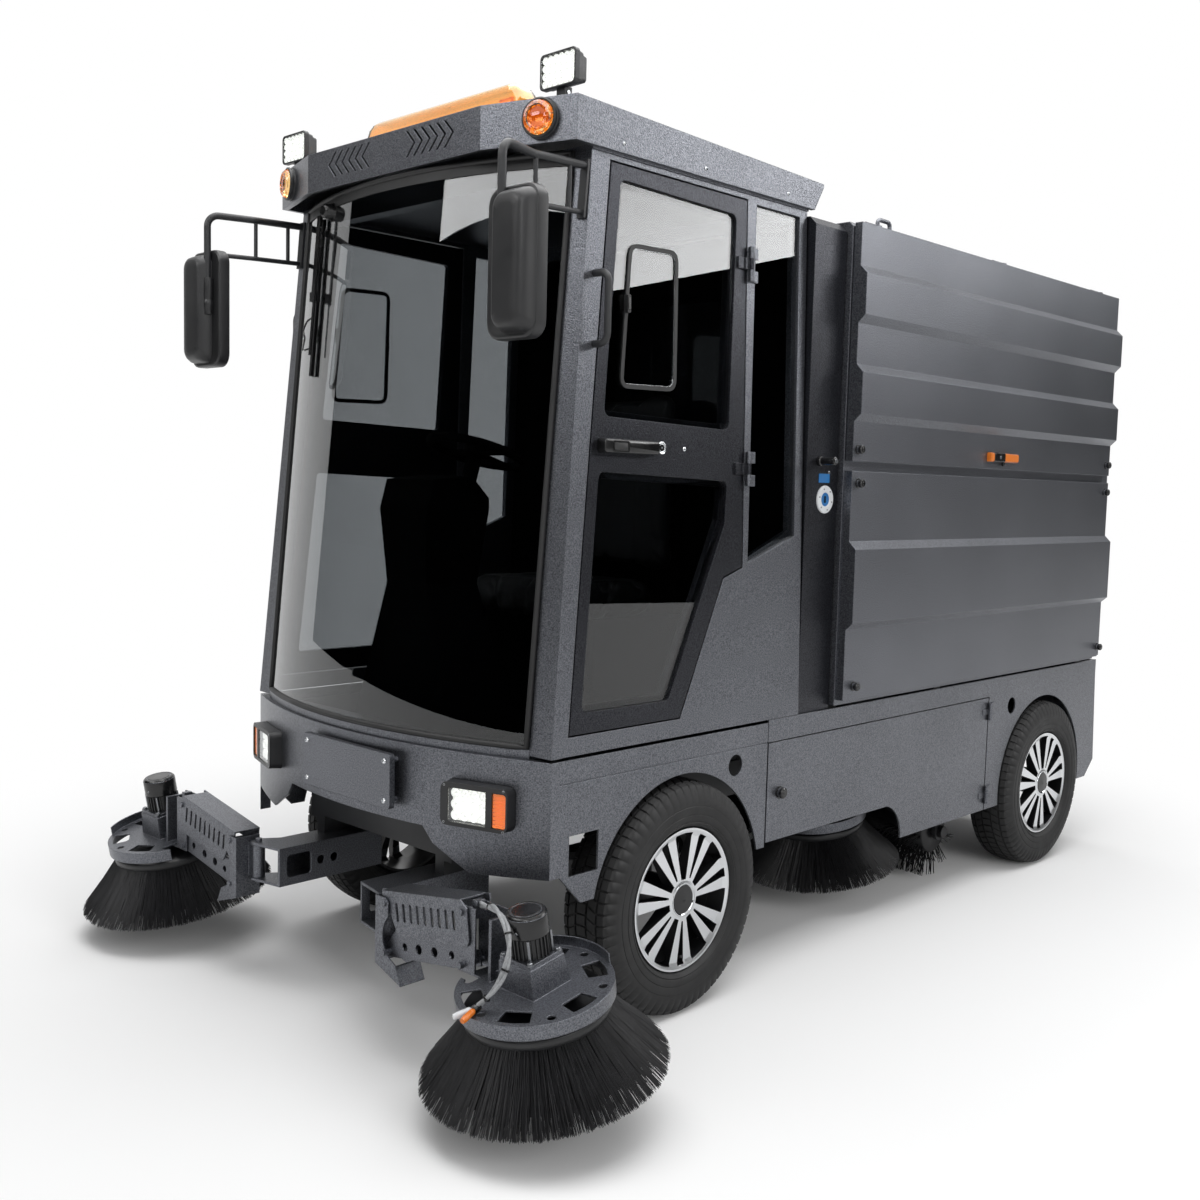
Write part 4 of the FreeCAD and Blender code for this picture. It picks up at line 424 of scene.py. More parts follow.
class Shell:
    """Points and faces gathered for one piece, in metres."""

    def __init__(self) -> None:
        """Start with nothing in it."""
        self.points: list[Point] = []
        self.faces: list[tuple[int, ...]] = []
        self.marks: list[int] = []

    def add(self, points: Iterable, faces: Iterable, place: Matrix = Matrix(), mark: int = 0) -> None:
        """Add points and faces.

        Args:
            points: Points in the part's own place.
            faces: Faces as numbers of those points.
            place: Where the part goes.
            mark: Number of the finish that the faces take.
        """
        start = len(self.points)
        self.points += [tuple(place @ Vector(p)) for p in points]
        found = [tuple(start + i for i in f) for f in faces]
        self.faces += found
        self.marks += [mark] * len(found)

    def loft(self, rings: Sequence[Sequence], place: Matrix = Matrix(), mark: int = 0, caps: bool = True,
             closed: bool = False) -> None:
        """Join rings of equal length by quads.

        Args:
            rings: Closed rings of points, one after the other.
            place: Where the part goes.
            mark: Number of the finish.
            caps: Whether the first and last rings are filled.
            closed: Whether the last ring joins the first.
        """
        count = len(rings[0])
        points = [p for ring in rings for p in ring]
        faces = []
        for level in range(len(rings) if closed else len(rings) - 1):
            low, high = level * count, ((level + 1) % len(rings)) * count
            faces += [(low + i, low + (i + 1) % count, high + (i + 1) % count, high + i) for i in range(count)]
        if caps and not closed:
            faces.append(tuple(reversed(range(count))))
            faces.append(tuple(range(len(points) - count, len(points))))
        self.add(points, faces, place, mark)

    def lathe(self, profile: Sequence[Flat], steps: int, place: Matrix = Matrix(), mark: int = 0,
              closed: bool = False) -> None:
        """Turn a profile of (radius, height) about the place's Z axis.

        Args:
            profile: The profile's points.
            steps: Steps round the axis.
            place: Where the part goes.
            mark: Number of the finish.
            closed: Whether the profile is a closed loop.
        """
        rings = [[(r * math.cos(a), r * math.sin(a), h) for a in np.arange(steps) * math.tau / steps]
                 for r, h in profile]
        self.loft(rings, place, mark, not closed, closed)

    def prism(self, outline: Sequence[Flat], low: float, high: float, place: Matrix = Matrix(),
              mark: int = 0) -> None:
        """Raise a flat outline from one height to another.

        Args:
            outline: Corners in the place's XY plane.
            low: First height.
            high: Second height.
            place: Where the part goes.
            mark: Number of the finish.
        """
        self.loft([[(u, v, h) for u, v in outline] for h in (low, high)], place, mark)

    def stack(self, outline: Callable[[float], Sequence[Flat]], levels: Iterable[Flat], place: Matrix,
              mark: int = 0) -> None:
        """Raise an outline that is drawn in by another amount at each level.

        Args:
            outline: Gives the outline drawn in by an amount.
            levels: Height of each level and how far the outline is drawn in there, in millimetres.
            place: Where the part goes.
            mark: Number of the finish.
        """
        self.loft([[(u, v, height) for u, v in outline(cut)] for height, cut in mm(*levels)], place, mark)

    def frame(self, outer: Sequence[Flat], inner: Sequence[Flat], low: float, high: float,
              place: Matrix = Matrix(), mark: int = 0) -> None:
        """Make a flat ring between two outlines of equal length.

        Args:
            outer: Outer outline.
            inner: Inner outline.
            low: First height.
            high: Second height.
            place: Where the part goes.
            mark: Number of the finish.
        """
        rings = [[(u, v, h) for u, v in outline] for outline, h in
                 ((outer, low), (outer, high), (inner, high), (inner, low))]
        self.loft(rings, place, mark, False, True)

    def tube(self, path: Sequence[Point], radius: float, sides: int = 10, mark: int = 0, closed: bool = False,
             place: Matrix = Matrix()) -> None:
        """Sweep a round section along points.

        Args:
            path: Points of the centre line.
            radius: Radius of the section.
            sides: Sides of the section.
            mark: Number of the finish.
            closed: Whether the path is a loop.
            place: Where the part goes.
        """
        line = [Vector(p) for p in path]
        count = len(line)
        rings = []
        side = None
        for index, point in enumerate(line):
            before = line[index - 1] if index or closed else point
            after = line[(index + 1) % count] if index < count - 1 or closed else point
            along = (after - before).normalized()
            if side is None:
                side = along.orthogonal().normalized()
            side = (side - along * side.dot(along)).normalized()
            other = along.cross(side)
            rings.append([point + (side * math.cos(a) + other * math.sin(a)) * radius
                          for a in np.arange(sides) * math.tau / sides])
        self.loft(rings, place, mark, not closed, closed)

    def piece(self, name: str, body: str, slot: str, finishes: Sequence[Finish], bevel: float = 0.0,
              angle: float = 32.0, stands_for: Sequence[str] = ()) -> bpy.types.Object:
        """Build the piece and set it on its body.

        Args:
            name: The piece's name.
            body: The body it rides on.
            slot: The record's material slot for the piece; not used.
            finishes: Finishes in the order of the marks.
            bevel: Width of the round on sharp edges, or 0.
            angle: Angle in degrees above which an edge stays sharp.
            stands_for: CAD nodes it replaces.

        Returns:
            The new object.
        """
        mesh = bpy.data.meshes.new(name)
        mesh.from_pydata(self.points, [], self.faces)
        for finish in finishes:
            mesh.materials.append(finish.material())
        mesh.polygons.foreach_set("material_index", self.marks)
        work = bmesh.new()
        work.from_mesh(mesh)
        bmesh.ops.recalc_face_normals(work, faces=work.faces)
        work.to_mesh(mesh)
        work.free()
        mesh.polygons.foreach_set("use_smooth", [True] * len(mesh.polygons))
        mesh.set_sharp_from_angle(angle=math.radians(angle))
        made = bpy.data.objects.new(name, mesh)
        bpy.context.scene.collection.objects.link(made)
        if bevel:
            edge = made.modifiers.new("edge", "BEVEL")
            edge.width, edge.segments, edge.harden_normals = bevel, 2, True
            edge.limit_method, edge.angle_limit = "ANGLE", math.radians(angle)
        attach(made, body)
        if stands_for:
            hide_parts(*stands_for)
        LOG.info("piece %s on %s, %d faces", name, body, len(self.faces))
        return made


def spun(degrees: float, axis: str, at: Point = (0.0, 0.0, 0.0)) -> Matrix:
    """Give a turn about an axis through the origin, then a move.

    Args:
        degrees: The turn.
        axis: "X", "Y" or "Z".
        at: Where the origin goes.

    Returns:
        The place.
    """
    return Matrix.Translation(at) @ Matrix.Rotation(math.radians(degrees), 4, axis)


def mm(*points: Sequence[float]) -> list[tuple[float, ...]]:
    """Turn points in millimetres into metres."""
    return [tuple(c * MM for c in point) for point in points]


def mirrored(side: Side) -> Matrix:
    """Give the mirror that takes the left side's places to a side."""
    return Matrix.Diagonal((side.value, 1.0, 1.0, 1.0))


def rectangle(low: Flat, high: Flat) -> list[Flat]:
    """Give the corners of a rectangle between two opposite ones, anticlockwise."""
    return [low, (high[0], low[1]), high, (low[0], high[1])]


def rounded(half_u: float, half_v: float, radius: float, steps: int = 5, at: Flat = (0.0, 0.0)) -> list[Flat]:
    """Give a rectangle with round corners.

    Args:
        half_u: Half its width.
        half_v: Half its height.
        radius: Radius of the corners.
        steps: Steps in a corner.
        at: Its centre.

    Returns:
        The outline, anticlockwise.
    """
    found = []
    for turn, (su, sv) in enumerate(((1, 1), (-1, 1), (-1, -1), (1, -1))):
        for step in range(steps + 1):
            a = math.radians(90 * (turn + step / steps))
            found.append((at[0] + su * (half_u - radius) + radius * math.cos(a),
                          at[1] + sv * (half_v - radius) + radius * math.sin(a)))
    return found


# ---- wheels ----


@dataclass
class Tyre:
    """A road tyre built in its CAD tyre's place: treaded, ribbed and hollow inside.

    The wall is given from the bead up, in millimetres: inward from the face, above the rim, and how
    deep the sipes go. The blocks' skew is in blocks, and its bend in radians at the wall's face.
    """

    side: Side
    end: str
    rim_radius: float = 0.177
    wall: tuple[Point, ...] = (
        (16, 0, 0), (8, 6, 0), (3, 12, 0), (4.5, 14.5, 0), (1.2, 19, 0), (0.2, 31, 0), (1.4, 32.5, 0), (0, 35, 0),
        (0, 52, 0), (1.2, 53.5, 0), (0.2, 56, 0), (1.2, 68, 1.2), (3.5, 78, 2.8), (8.5, 92, 4.2), (12.5, 98.5, 4.5))
    blocks: int = 66
    groove: float = 0.006
    groove_places: tuple[float, ...] = (-0.045, -0.0165, 0.0165, 0.045)
    groove_half: float = 0.0032
    groove_floor: float = 0.7
    clearance: float = 0.0004
    shoulder: float = 0.0145
    crown: float = 0.009
    crown_power: float = 2.6
    sipe: float = 0.0042
    sipe_share: float = 0.16
    sipe_wall: float = 0.07
    shoulder_sipe: float = 0.0045
    skew_blocks: float = 1.1
    skew_bend: float = 2.2
    skew_end: float = 2.0
    skew_stop: float = 0.012

    def section(self, half: float, radius: float) -> list[Point]:
        """Give the outer section from one bead to the other.

        Args:
            half: Half the tyre's width.
            radius: Its radius over the tread.

        Returns:
            Points as (x, radius, sipe depth).
        """
        lift = radius - self.clearance
        wall = [(half - inward * MM, self.rim_radius + up * MM, deep * MM) for inward, up, deep in self.wall]
        edge = half - self.shoulder
        floor = self.groove_half * self.groove_floor
        tread = []
        for place in self.groove_places:
            for aside, cut in ((-self.groove_half, 0), (-floor, self.groove),
                               (floor, self.groove), (self.groove_half, 0)):
                fall = (abs(place + aside) / edge) ** self.crown_power * self.crown
                tread.append((place + aside, lift - fall - cut, 0.0 if cut else self.sipe))
        corners = [(x, lift - self.crown, self.shoulder_sipe) for x in (-edge, edge)]
        return [(-x, r, d) for x, r, d in wall] + corners[:1] + tread + corners[1:] + wall[::-1]

    def skew(self, x: float, half: float) -> float:
        """Give how far the blocks run ahead at a place across the tread.

        Args:
            x: The place.
            half: Half the tyre's width.

        Returns:
            The distance in blocks.
        """
        bend = abs(x) / half * self.skew_bend if abs(x) < half - self.skew_stop else self.skew_end
        return self.skew_blocks * math.sin(bend)

    def build(self) -> None:
        """Build the tyre and give it its rubber."""
        low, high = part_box(f"{self.side.word}_{self.end}_tyre")
        half = (high.x - low.x) / 2
        section = self.section(half, (high.z - low.z) / 2)
        cuts = (0.0, self.sipe_wall, self.sipe_share, self.sipe_share + self.sipe_wall)
        rings = []
        for number in range(self.blocks):
            for cut, sunk in zip(cuts, (0, 1, 1, 0)):
                ring = []
                for x, radius, depth in section:
                    angle = (number + cut + self.skew(x, half)) * math.tau / self.blocks
                    r = radius - depth * sunk
                    ring.append((x, r * math.cos(angle), r * math.sin(angle)))
                rings.append(ring)
        shell = Shell()
        shell.loft(rings, Matrix.Translation((low + high) / 2), 0, False, True)
        shell.piece(f"{self.side.word}_{self.end}_tyre_treaded", f"{self.side.word}_{self.end}_wheel", "tyre",
                    [RUBBER], angle=38, stands_for=[f"{self.side.word}_{self.end}_tyre"])


@dataclass
class WheelTrim:
    """Small parts on a rim: its cap, the ring round it and the valve."""

    side: Side
    end: str

    def build(self) -> None:
        """Finish the CAD rim and add the cap, its ring and the valve."""
        node = f"{self.side.word}_{self.end}_rim"
        low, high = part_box(node)
        centre = (low + high) / 2
        dress(node, WheelFinish(f"turned_and_lacquered_alloy_{self.end}", "#dcdee0", "#0c0c0d", 0.3, grain=1.0,
                                relief=0.03, edge=0.7, hub_y=round(centre.y, 4), hub_z=round(centre.z, 4)))
        outer = high.x if self.side is Side.LEFT else low.x
        face = spun(90 * self.side.value, "Y", (outer, centre.y, centre.z))
        shell = Shell()
        shell.lathe(mm((0, -0.6), (12, -0.8), (20, -1.8), (28.5, -2.2), (29.5, -3.2), (33.5, -3.2),
                       (34.5, -5.8), (0, -6)), 48, face)
        shell.lathe(mm((35.2, -3.6), (37.8, -1.6), (40.5, -1.6), (41.8, -4.5), (35.2, -4.6)), 64, face, 1, True)
        shell.tube(mm((148, 0, -30), (146, 0, -12), (142, 0, -4)), 0.0036, 10, 2, False, face)
        shell.piece(f"{self.side.word}_{self.end}_wheel_cap", f"{self.side.word}_{self.end}_wheel", "alloy",
                    [GLOSS_BLACK, CHROME, RUBBER], angle=25)


# ---- brushes ----


def brush_place(node: str) -> Matrix:
    """Give a spinning brush's place: the foot of its joint, with Z along its axis.

    Args:
        node: The brush's body.

    Returns:
        The place.
    """
    joint = next(j for j in frame["joints"] if j["name"] == f"spin_{node}")
    tilt = math.degrees(math.atan2(-joint["axis"][1], joint["axis"][2]))
    return spun(tilt, "X", joint["pos_m"])


def add_strand(points: list, faces: list, corners: Sequence[Vector]) -> None:
    """Add a three-sided strand, open at its root.

    Args:
        points: Gathers the points.
        faces: Gathers the faces.
        corners: Its corners, three at each level from the root up.
    """
    start, top = len(points), len(points) + len(corners) - 3
    points += corners
    for level in range(start, top, 3):
        for corner in range(3):
            after = (corner + 1) % 3
            faces.append((level + corner, level + after, level + 3 + after, level + 3 + corner))
    faces.append((top, top + 1, top + 2))


@dataclass
class DiscBrush:
    """A round brush: carrier disc and splayed tufts, tips on the road."""

    side: Side
    kind: str
    disc_radius: float = 0.15
    tip_radius: float = 0.256
    disc_top: float = 0.143
    disc_low: float = 0.124
    rings: tuple[tuple[int, int, float, float, float], ...] = (
        (112, 25, 0.144, 0.251, 0.006), (80, 13, 0.124, 0.222, 0.009), (48, 8, 0.100, 0.190, 0.012))
    lean: float = 0.014
    reach: float = 0.002
    root_spread: float = 0.0011
    root_reach: float = 0.004
    tip_share: float = 0.55
    bow: float = 0.006
    rise: float = 0.004
    tips: Flat = (0.0005, 0.006)
    thickness: Flat = (0.0009, 0.0013)
    taper: Point = (1.0, 0.85, 0.5)

    def strand(self, root: Vector, tip: Vector, wide: float) -> list[Vector]:
        """Give the corners of one strand that bends a little outward.

        Args:
            root: Where it leaves the disc.
            tip: Where it meets the road.
            wide: Half its width at the root.

        Returns:
            Three corners at the root, the middle and the tip.
        """
        along = tip - root
        out = Vector((along.x, along.y, 0.0)).normalized()
        middle = root + along * 0.5 + out * -self.bow + Vector((0, 0, self.rise))
        aside = Vector((-out.y, out.x, 0.0))
        corners = []
        for place, share in zip((root, middle, tip), self.taper):
            size = wide * share
            back = place - out * size * 0.5
            corners += [place + out * size, back + aside * size, back - aside * size]
        return corners

    def build(self) -> None:
        """Build the disc and its tufts in the CAD brush's place."""
        node = f"{self.side.word}_{self.kind}"
        place = brush_place(node)
        draw = random.Random(11 + 3 * self.side.value + len(self.kind))
        points: list = []
        faces: list = []
        for count, strands, root_radius, tip_radius, spread in self.rings:
            for tuft in range(count):
                angle = tuft * math.tau / count
                lean = draw.uniform(-self.lean, self.lean)
                reach = draw.uniform(-self.reach, self.reach)
                for _ in range(strands):
                    a = angle + draw.gauss(0, self.root_spread) / root_radius * 2
                    b = angle + lean + draw.gauss(0, spread * self.tip_share) / tip_radius * 2
                    r = root_radius + draw.uniform(-self.root_reach, self.root_reach)
                    t = min(tip_radius + reach + draw.gauss(0, spread * self.tip_share), self.tip_radius)
                    root = Vector((r * math.cos(a), r * math.sin(a), self.disc_low + 0.002))
                    tip = Vector((t * math.cos(b), t * math.sin(b), draw.uniform(*self.tips)))
                    add_strand(points, faces, self.strand(root, tip, draw.uniform(*self.thickness)))
        shell = Shell()
        shell.add(points, faces, place)
        rim, top, low = self.disc_radius, self.disc_top, self.disc_low
        shell.lathe([(0.012, low), (0.012, top), (rim - 0.003, top), (rim, top - 0.003), (rim, low),
                     (rim - 0.004, low - 0.003), (0.05, low - 0.003)], 72, place, 1, True)
        shell.lathe([(0.07, low - 0.002), (rim - 0.012, low - 0.002), (0.18, 0.075), (0.212, 0.026), (0.206, 0.022),
                     (0.165, 0.07), (0.11, 0.1)], 60, place, 2, True)
        shell.piece(f"{node}_bristles", node, "bristle", [BRISTLE, MOULDED, BRISTLE_ROOT], angle=60,
                    stands_for=[node])


@dataclass
class RollerBrush:
    """The wide main brush between the wheels: shaft, core and rows of tufts in long spirals."""

    rows: int = 12
    tufts: int = 56
    strands: int = 6
    twist: float = 70.0
    shaft_out: float = 0.04
    core: float = 0.075
    root_turn: float = 0.03
    tip_turn: float = 0.09
    root_step: float = 0.005
    tip_step: float = 0.006
    wear: float = 0.004
    thickness: Flat = (0.0016, 0.0009)

    def build(self) -> None:
        """Build the brush in the CAD roller's place."""
        low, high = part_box("roller_brush")
        reach = (high.z - low.z) / 2 - 0.001
        half = (high.x - low.x) / 2 - self.shaft_out - 0.002
        place = spun(90, "Y", (low + high) / 2)
        draw = random.Random(5)
        points: list = []
        faces: list = []
        for row in range(self.rows):
            for tuft in range(self.tufts):
                along = -half + 2 * half * (tuft + 0.5) / self.tufts
                angle = row * math.tau / self.rows + math.radians(self.twist) * along / half
                for _ in range(self.strands):
                    a = angle + draw.uniform(-self.root_turn, self.root_turn)
                    b = angle + draw.uniform(-self.tip_turn, self.tip_turn)
                    z = along + draw.uniform(-self.root_step, self.root_step)
                    tip = reach - draw.uniform(0, self.wear)
                    end = z + draw.uniform(-self.tip_step, self.tip_step)
                    add_strand(points, faces, self.strand((self.core - 0.005, a, z), (tip, b, end)))
        shell = Shell()
        shell.add(points, faces, place)
        out, core = half + self.shaft_out, self.core
        shell.lathe([(0.0, -out), (0.02, -out), (0.02, -half), (core - 0.003, -half), (core, -half + 0.003),
                     (core, half - 0.003), (core - 0.003, half), (0.02, half), (0.02, out), (0.0, out)], 40,
                    place, 1)
        shell.piece("roller_brush_bristles", "roller_brush", "bristle", [BRISTLE, MOULDED], angle=60,
                    stands_for=["roller_brush"])

    def strand(self, *ends: Point) -> list[Vector]:
        """Give the corners of one strand.

        Args:
            *ends: Its root and its tip, as radius, angle and height.

        Returns:
            Three corners at each end.
        """
        corners = []
        for (radius, angle, height), size in zip(ends, self.thickness):
            at = Vector((radius * math.cos(angle), radius * math.sin(angle), height))
            aside = Vector((-math.sin(angle), math.cos(angle), 0)) * size
            up = Vector((0, 0, size))
            corners += [at + aside, at - aside * 0.5 + up, at - aside * 0.5 - up]
        return corners


# ---- lamps ----


def facing(place: Matrix) -> Matrix:
    """Turn a place so that its own Z looks forward, out of the truck's nose, with Y up."""
    return place @ spun(90, "X")


def optics(shell: Shell, place: Matrix, columns: int, rows: int, pitch: Flat, at: Flat, floor: float,
           bowl: float, bowl_mark: int = 1) -> None:
    """Set out reflector bowls, each with its diode, in rows.

    Args:
        shell: Gathers the bowls, and the diodes as mark 2.
        place: The lamp's face, with its Z outward.
        columns: Bowls in a row.
        rows: Rows.
        pitch: Steps across and up.
        at: Centre of the field.
        floor: Height of the panel that they are let into.
        bowl: Depth of a bowl.
        bowl_mark: Number of the bowls' finish.
    """
    for column in range(columns):
        for row in range(rows):
            u = at[0] + (column - (columns - 1) / 2) * pitch[0]
            v = at[1] + (row - (rows - 1) / 2) * pitch[1]
            here = place @ Matrix.Translation((u, v, floor))
            wide = min(pitch) / 2
            shell.lathe([(wide * 0.98, 0.0), (wide * 0.9, 0.0), (wide * 0.45, -bowl), (wide * 0.45, -bowl - 0.001),
                         (wide * 0.98, -bowl - 0.001)], 14, here, bowl_mark, True)
            shell.lathe([(0.0, -bowl * 0.35), (wide * 0.3, -bowl * 0.5), (wide * 0.42, -bowl), (0.0, -bowl)], 10,
                        here, 2)


@dataclass
class HeadLamp:
    """Square head lamp with a turn lamp beside it, in one black bezel."""

    place: Matrix
    half_wide: float = 0.0885
    half_tall: float = 0.0505
    reach: float = 0.031
    white: Flat = (-0.068, 0.031)
    turn: Flat = (0.047, 0.0825)
    low: float = -0.0405
    high: float = 0.0375
    flutes: int = 9
    screws: tuple[Flat, ...] = ((-0.0775, 0.0415), (-0.0775, -0.0425), (0.0765, 0.0445), (0.0765, -0.0455))

    def add_to(self, shell: Shell) -> None:
        """Add housing, bezel, optics, lenses and screws.

        Args:
            shell: Gathers them.
        """
        face = facing(self.place)
        shell.stack(lambda cut: rounded(self.half_wide - cut, self.half_tall - cut, 0.0175),
                    ((-49.5, 0.3), (4, 0.3), (24.5, 1.2), (24.5, 6), (6, 8)), face)
        middle = ((self.white[0] + self.turn[1]) / 2, (self.low + self.high) / 2)
        inner = rounded((self.turn[1] - self.white[0]) / 2, (self.high - self.low) / 2, 0.007, 5, middle)
        shell.frame(rounded(self.half_wide - 0.0014, self.half_tall - 0.0014, 0.0165), inner, 0.0235,
                    self.reach - 0.0003, face)
        shell.prism(rectangle((self.white[1], self.low), (self.turn[0], self.high)), 0.007, self.reach - 0.0006,
                    face)
        wide, tall = self.white[1] - self.white[0], self.high - self.low
        centre = ((self.white[0] + self.white[1]) / 2, middle[1])
        # The plate behind the bowls and the bowls themselves take the diodes' glowing finish (mark 2): painted glow
        # that stands in for the bright reflection in the lamp.
        shell.prism(rounded(wide / 2, tall / 2, 0.004, 3, centre), 0.006, 0.0072, face, 2)
        optics(shell, face, 4, 3, (wide / 4.1, tall / 3.1), centre, 0.018, 0.006, 2)
        shell.prism(rounded(wide / 2 - 0.001, tall / 2 - 0.001, 0.006, 4, centre), 0.0262, 0.0282, face, 3)
        side = ((self.turn[0] + self.turn[1]) / 2, middle[1])
        half = (self.turn[1] - self.turn[0]) / 2
        shell.prism(rounded(half, tall / 2, 0.003, 3, side), 0.008, 0.012, face, 5)
        for flute in range(self.flutes):
            v = self.low + tall * (flute + 0.5) / self.flutes
            shell.prism(rectangle((side[0] - half + 0.001, v - 0.0036), (side[0] + half - 0.001, v + 0.0036)),
                        0.0205, 0.0238, face, 5)
        shell.prism(rounded(half - 0.0008, tall / 2 - 0.001, 0.004, 4, side), 0.0242, 0.0275, face, 4)
        for u, v in self.screws:
            shell.lathe(mm((0, -0.4), (1.6, -0.4), (2.2, 0), (2.8, 0), (2.8, -1), (0, -1)), 12,
                        face @ Matrix.Translation((u, v, self.reach)), 6)


@dataclass
class WorkLamp:
    """Square flood lamp on its bracket at a corner of the roof."""

    place: Matrix
    half_wide: float = 0.055
    half_tall: float = 0.038
    deep: float = 0.045
    fins: int = 7

    def add_to(self, shell: Shell) -> None:
        """Add the finned body, bezel, optics, lens and bracket.

        Args:
            shell: Gathers them.
        """
        face = facing(self.place)
        shell.stack(lambda cut: rounded(self.half_wide - cut, self.half_tall - cut, 0.0105 - cut / 3),
                    ((0.5 - self.deep / MM, 11), (-30, 8.5), (-29.5, 5.5), (-14, 3), (-13.5, 0.2), (-1.5, 0.2),
                     (-0.3, 1.4), (-0.3, 3.8), (-12.5, 4.6)), face)
        # The plate behind the bowls and the bowls themselves take the diodes' glowing finish (mark 2): painted glow
        # that stands in for the bright reflection in the lamp.
        shell.prism(rounded(self.half_wide - 0.0045, self.half_tall - 0.0045, 0.006), -0.0124, -0.0115, face, 2)
        optics(shell, face, 6, 4, (0.0166, 0.0166), (0, 0), -0.0045, 0.004, 2)
        shell.prism(rounded(self.half_wide - 0.0042, self.half_tall - 0.0042, 0.006), -0.0032, -0.0014, face, 3)
        for fin in range(self.fins):
            u = (fin - (self.fins - 1) / 2) * 0.012
            shell.prism(rectangle((u - 0.0012, -0.024), (u + 0.0012, 0.024)), -self.deep + 0.0002, -0.03, face)
        shell.prism(rectangle((-0.013, -0.0585), (0.013, -0.034)), -0.033, -0.012, face)
        for u in (-0.0135, 0.0135):
            shell.lathe(mm((0, -1.5), (5, -1.5), (5, 1.5), (0, 1.5)), 6,
                        face @ spun(90, "Y", (u, -0.046, -0.022)), 6)


@dataclass
class TailLamp:
    """Tail lamp: a black dish with a red and an amber cover side by side."""

    place: Matrix

    def add_to(self, shell: Shell) -> None:
        """Add the black dish and its two coloured covers.

        Args:
            shell: Gathers them.
        """
        face = facing(self.place)
        shell.stack(lambda cut: rounded(0.06 - cut, 0.04 - cut, 0.006),
                    ((-34.8, 0.2), (-1.2, 0.2), (-0.2, 1.4), (-0.2, 4), (-12, 5)),
                    face)
        for mark, low, high in ((7, -0.0175, 0.0555), (4, -0.0555, -0.0195)):
            cover = rounded((high - low) / 2, 0.0352, 0.003, 3, ((low + high) / 2, 0.0))
            shell.prism(cover, -0.011, -0.0095, face, 1)
            shell.prism(cover, -0.0042, -0.0008, face, mark)


def build_lamps() -> None:
    """Build head, work and tail lamps in the CAD lamps' places, as one piece."""
    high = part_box("lamps")[1]
    shell = Shell()
    for side in Side:
        to_side = mirrored(side)
        HeadLamp(to_side @ spun(17.1, "Z", (0.427, -1.2587, 0.572))).add_to(shell)
        WorkLamp(to_side @ Matrix.Translation((0.509, -1.151, high.z - 0.0387))).add_to(shell)
        TailLamp(to_side @ spun(180, "Z", (0.5, high.y, 0.56))).add_to(shell)
    shell.piece("lamps_detailed", "chassis", "lamp",
                [MOULDED, REFLECTOR, DIODE_AND_BOWL_GLOW, LENS, AMBER, AMBER_GLOW, ZINC, RED_LENS], bevel=0.0004, angle=35,
                stands_for=["lamps"])


@dataclass
class RoundMarker:
    """Round turn lamp in a rubber rim on the hood's corner."""

    place: Matrix
    radius: float = 0.0428
    lamps: int = 12

    def add_to(self, shell: Shell) -> None:
        """Add rim, rings, lens and diodes.

        Args:
            shell: Gathers them.
        """
        face = facing(self.place)
        rim = mm((0, -7.8), (0, 1), (2.2, 3), (2.2, 6), (0.2, 7.5), (0.6, 12.5), (3.5, 14.5), (6.2, 13.5), (6.6, 4),
                 (6.6, -7.8))
        shell.lathe([(self.radius - inward, height) for inward, height in rim], 56, face, 0, True)
        shell.lathe([(0.0, 0.0), (self.radius - 0.006, 0.0), (self.radius - 0.006, 0.003), (0.0, 0.003)], 40,
                    face, 1)
        for lamp in range(self.lamps):
            here = face @ spun(360 * lamp / self.lamps, "Z") @ Matrix.Translation((0.0275, 0, 0.0032))
            shell.lathe(mm((4.2, 0), (4.2, 4), (2.8, 6.5), (0, 7.2)), 12, here, 2)
        shell.lathe(mm((0, 6), (30, 6), (36.1, 8.5), (36.1, 13.5), (34.5, 19.5), (30.5, 23.2), (26.2, 23.8),
                       (23.6, 21.2), (20.5, 20.5), (14, 23.2), (6, 24.8), (0, 25)), 56, face, 3)


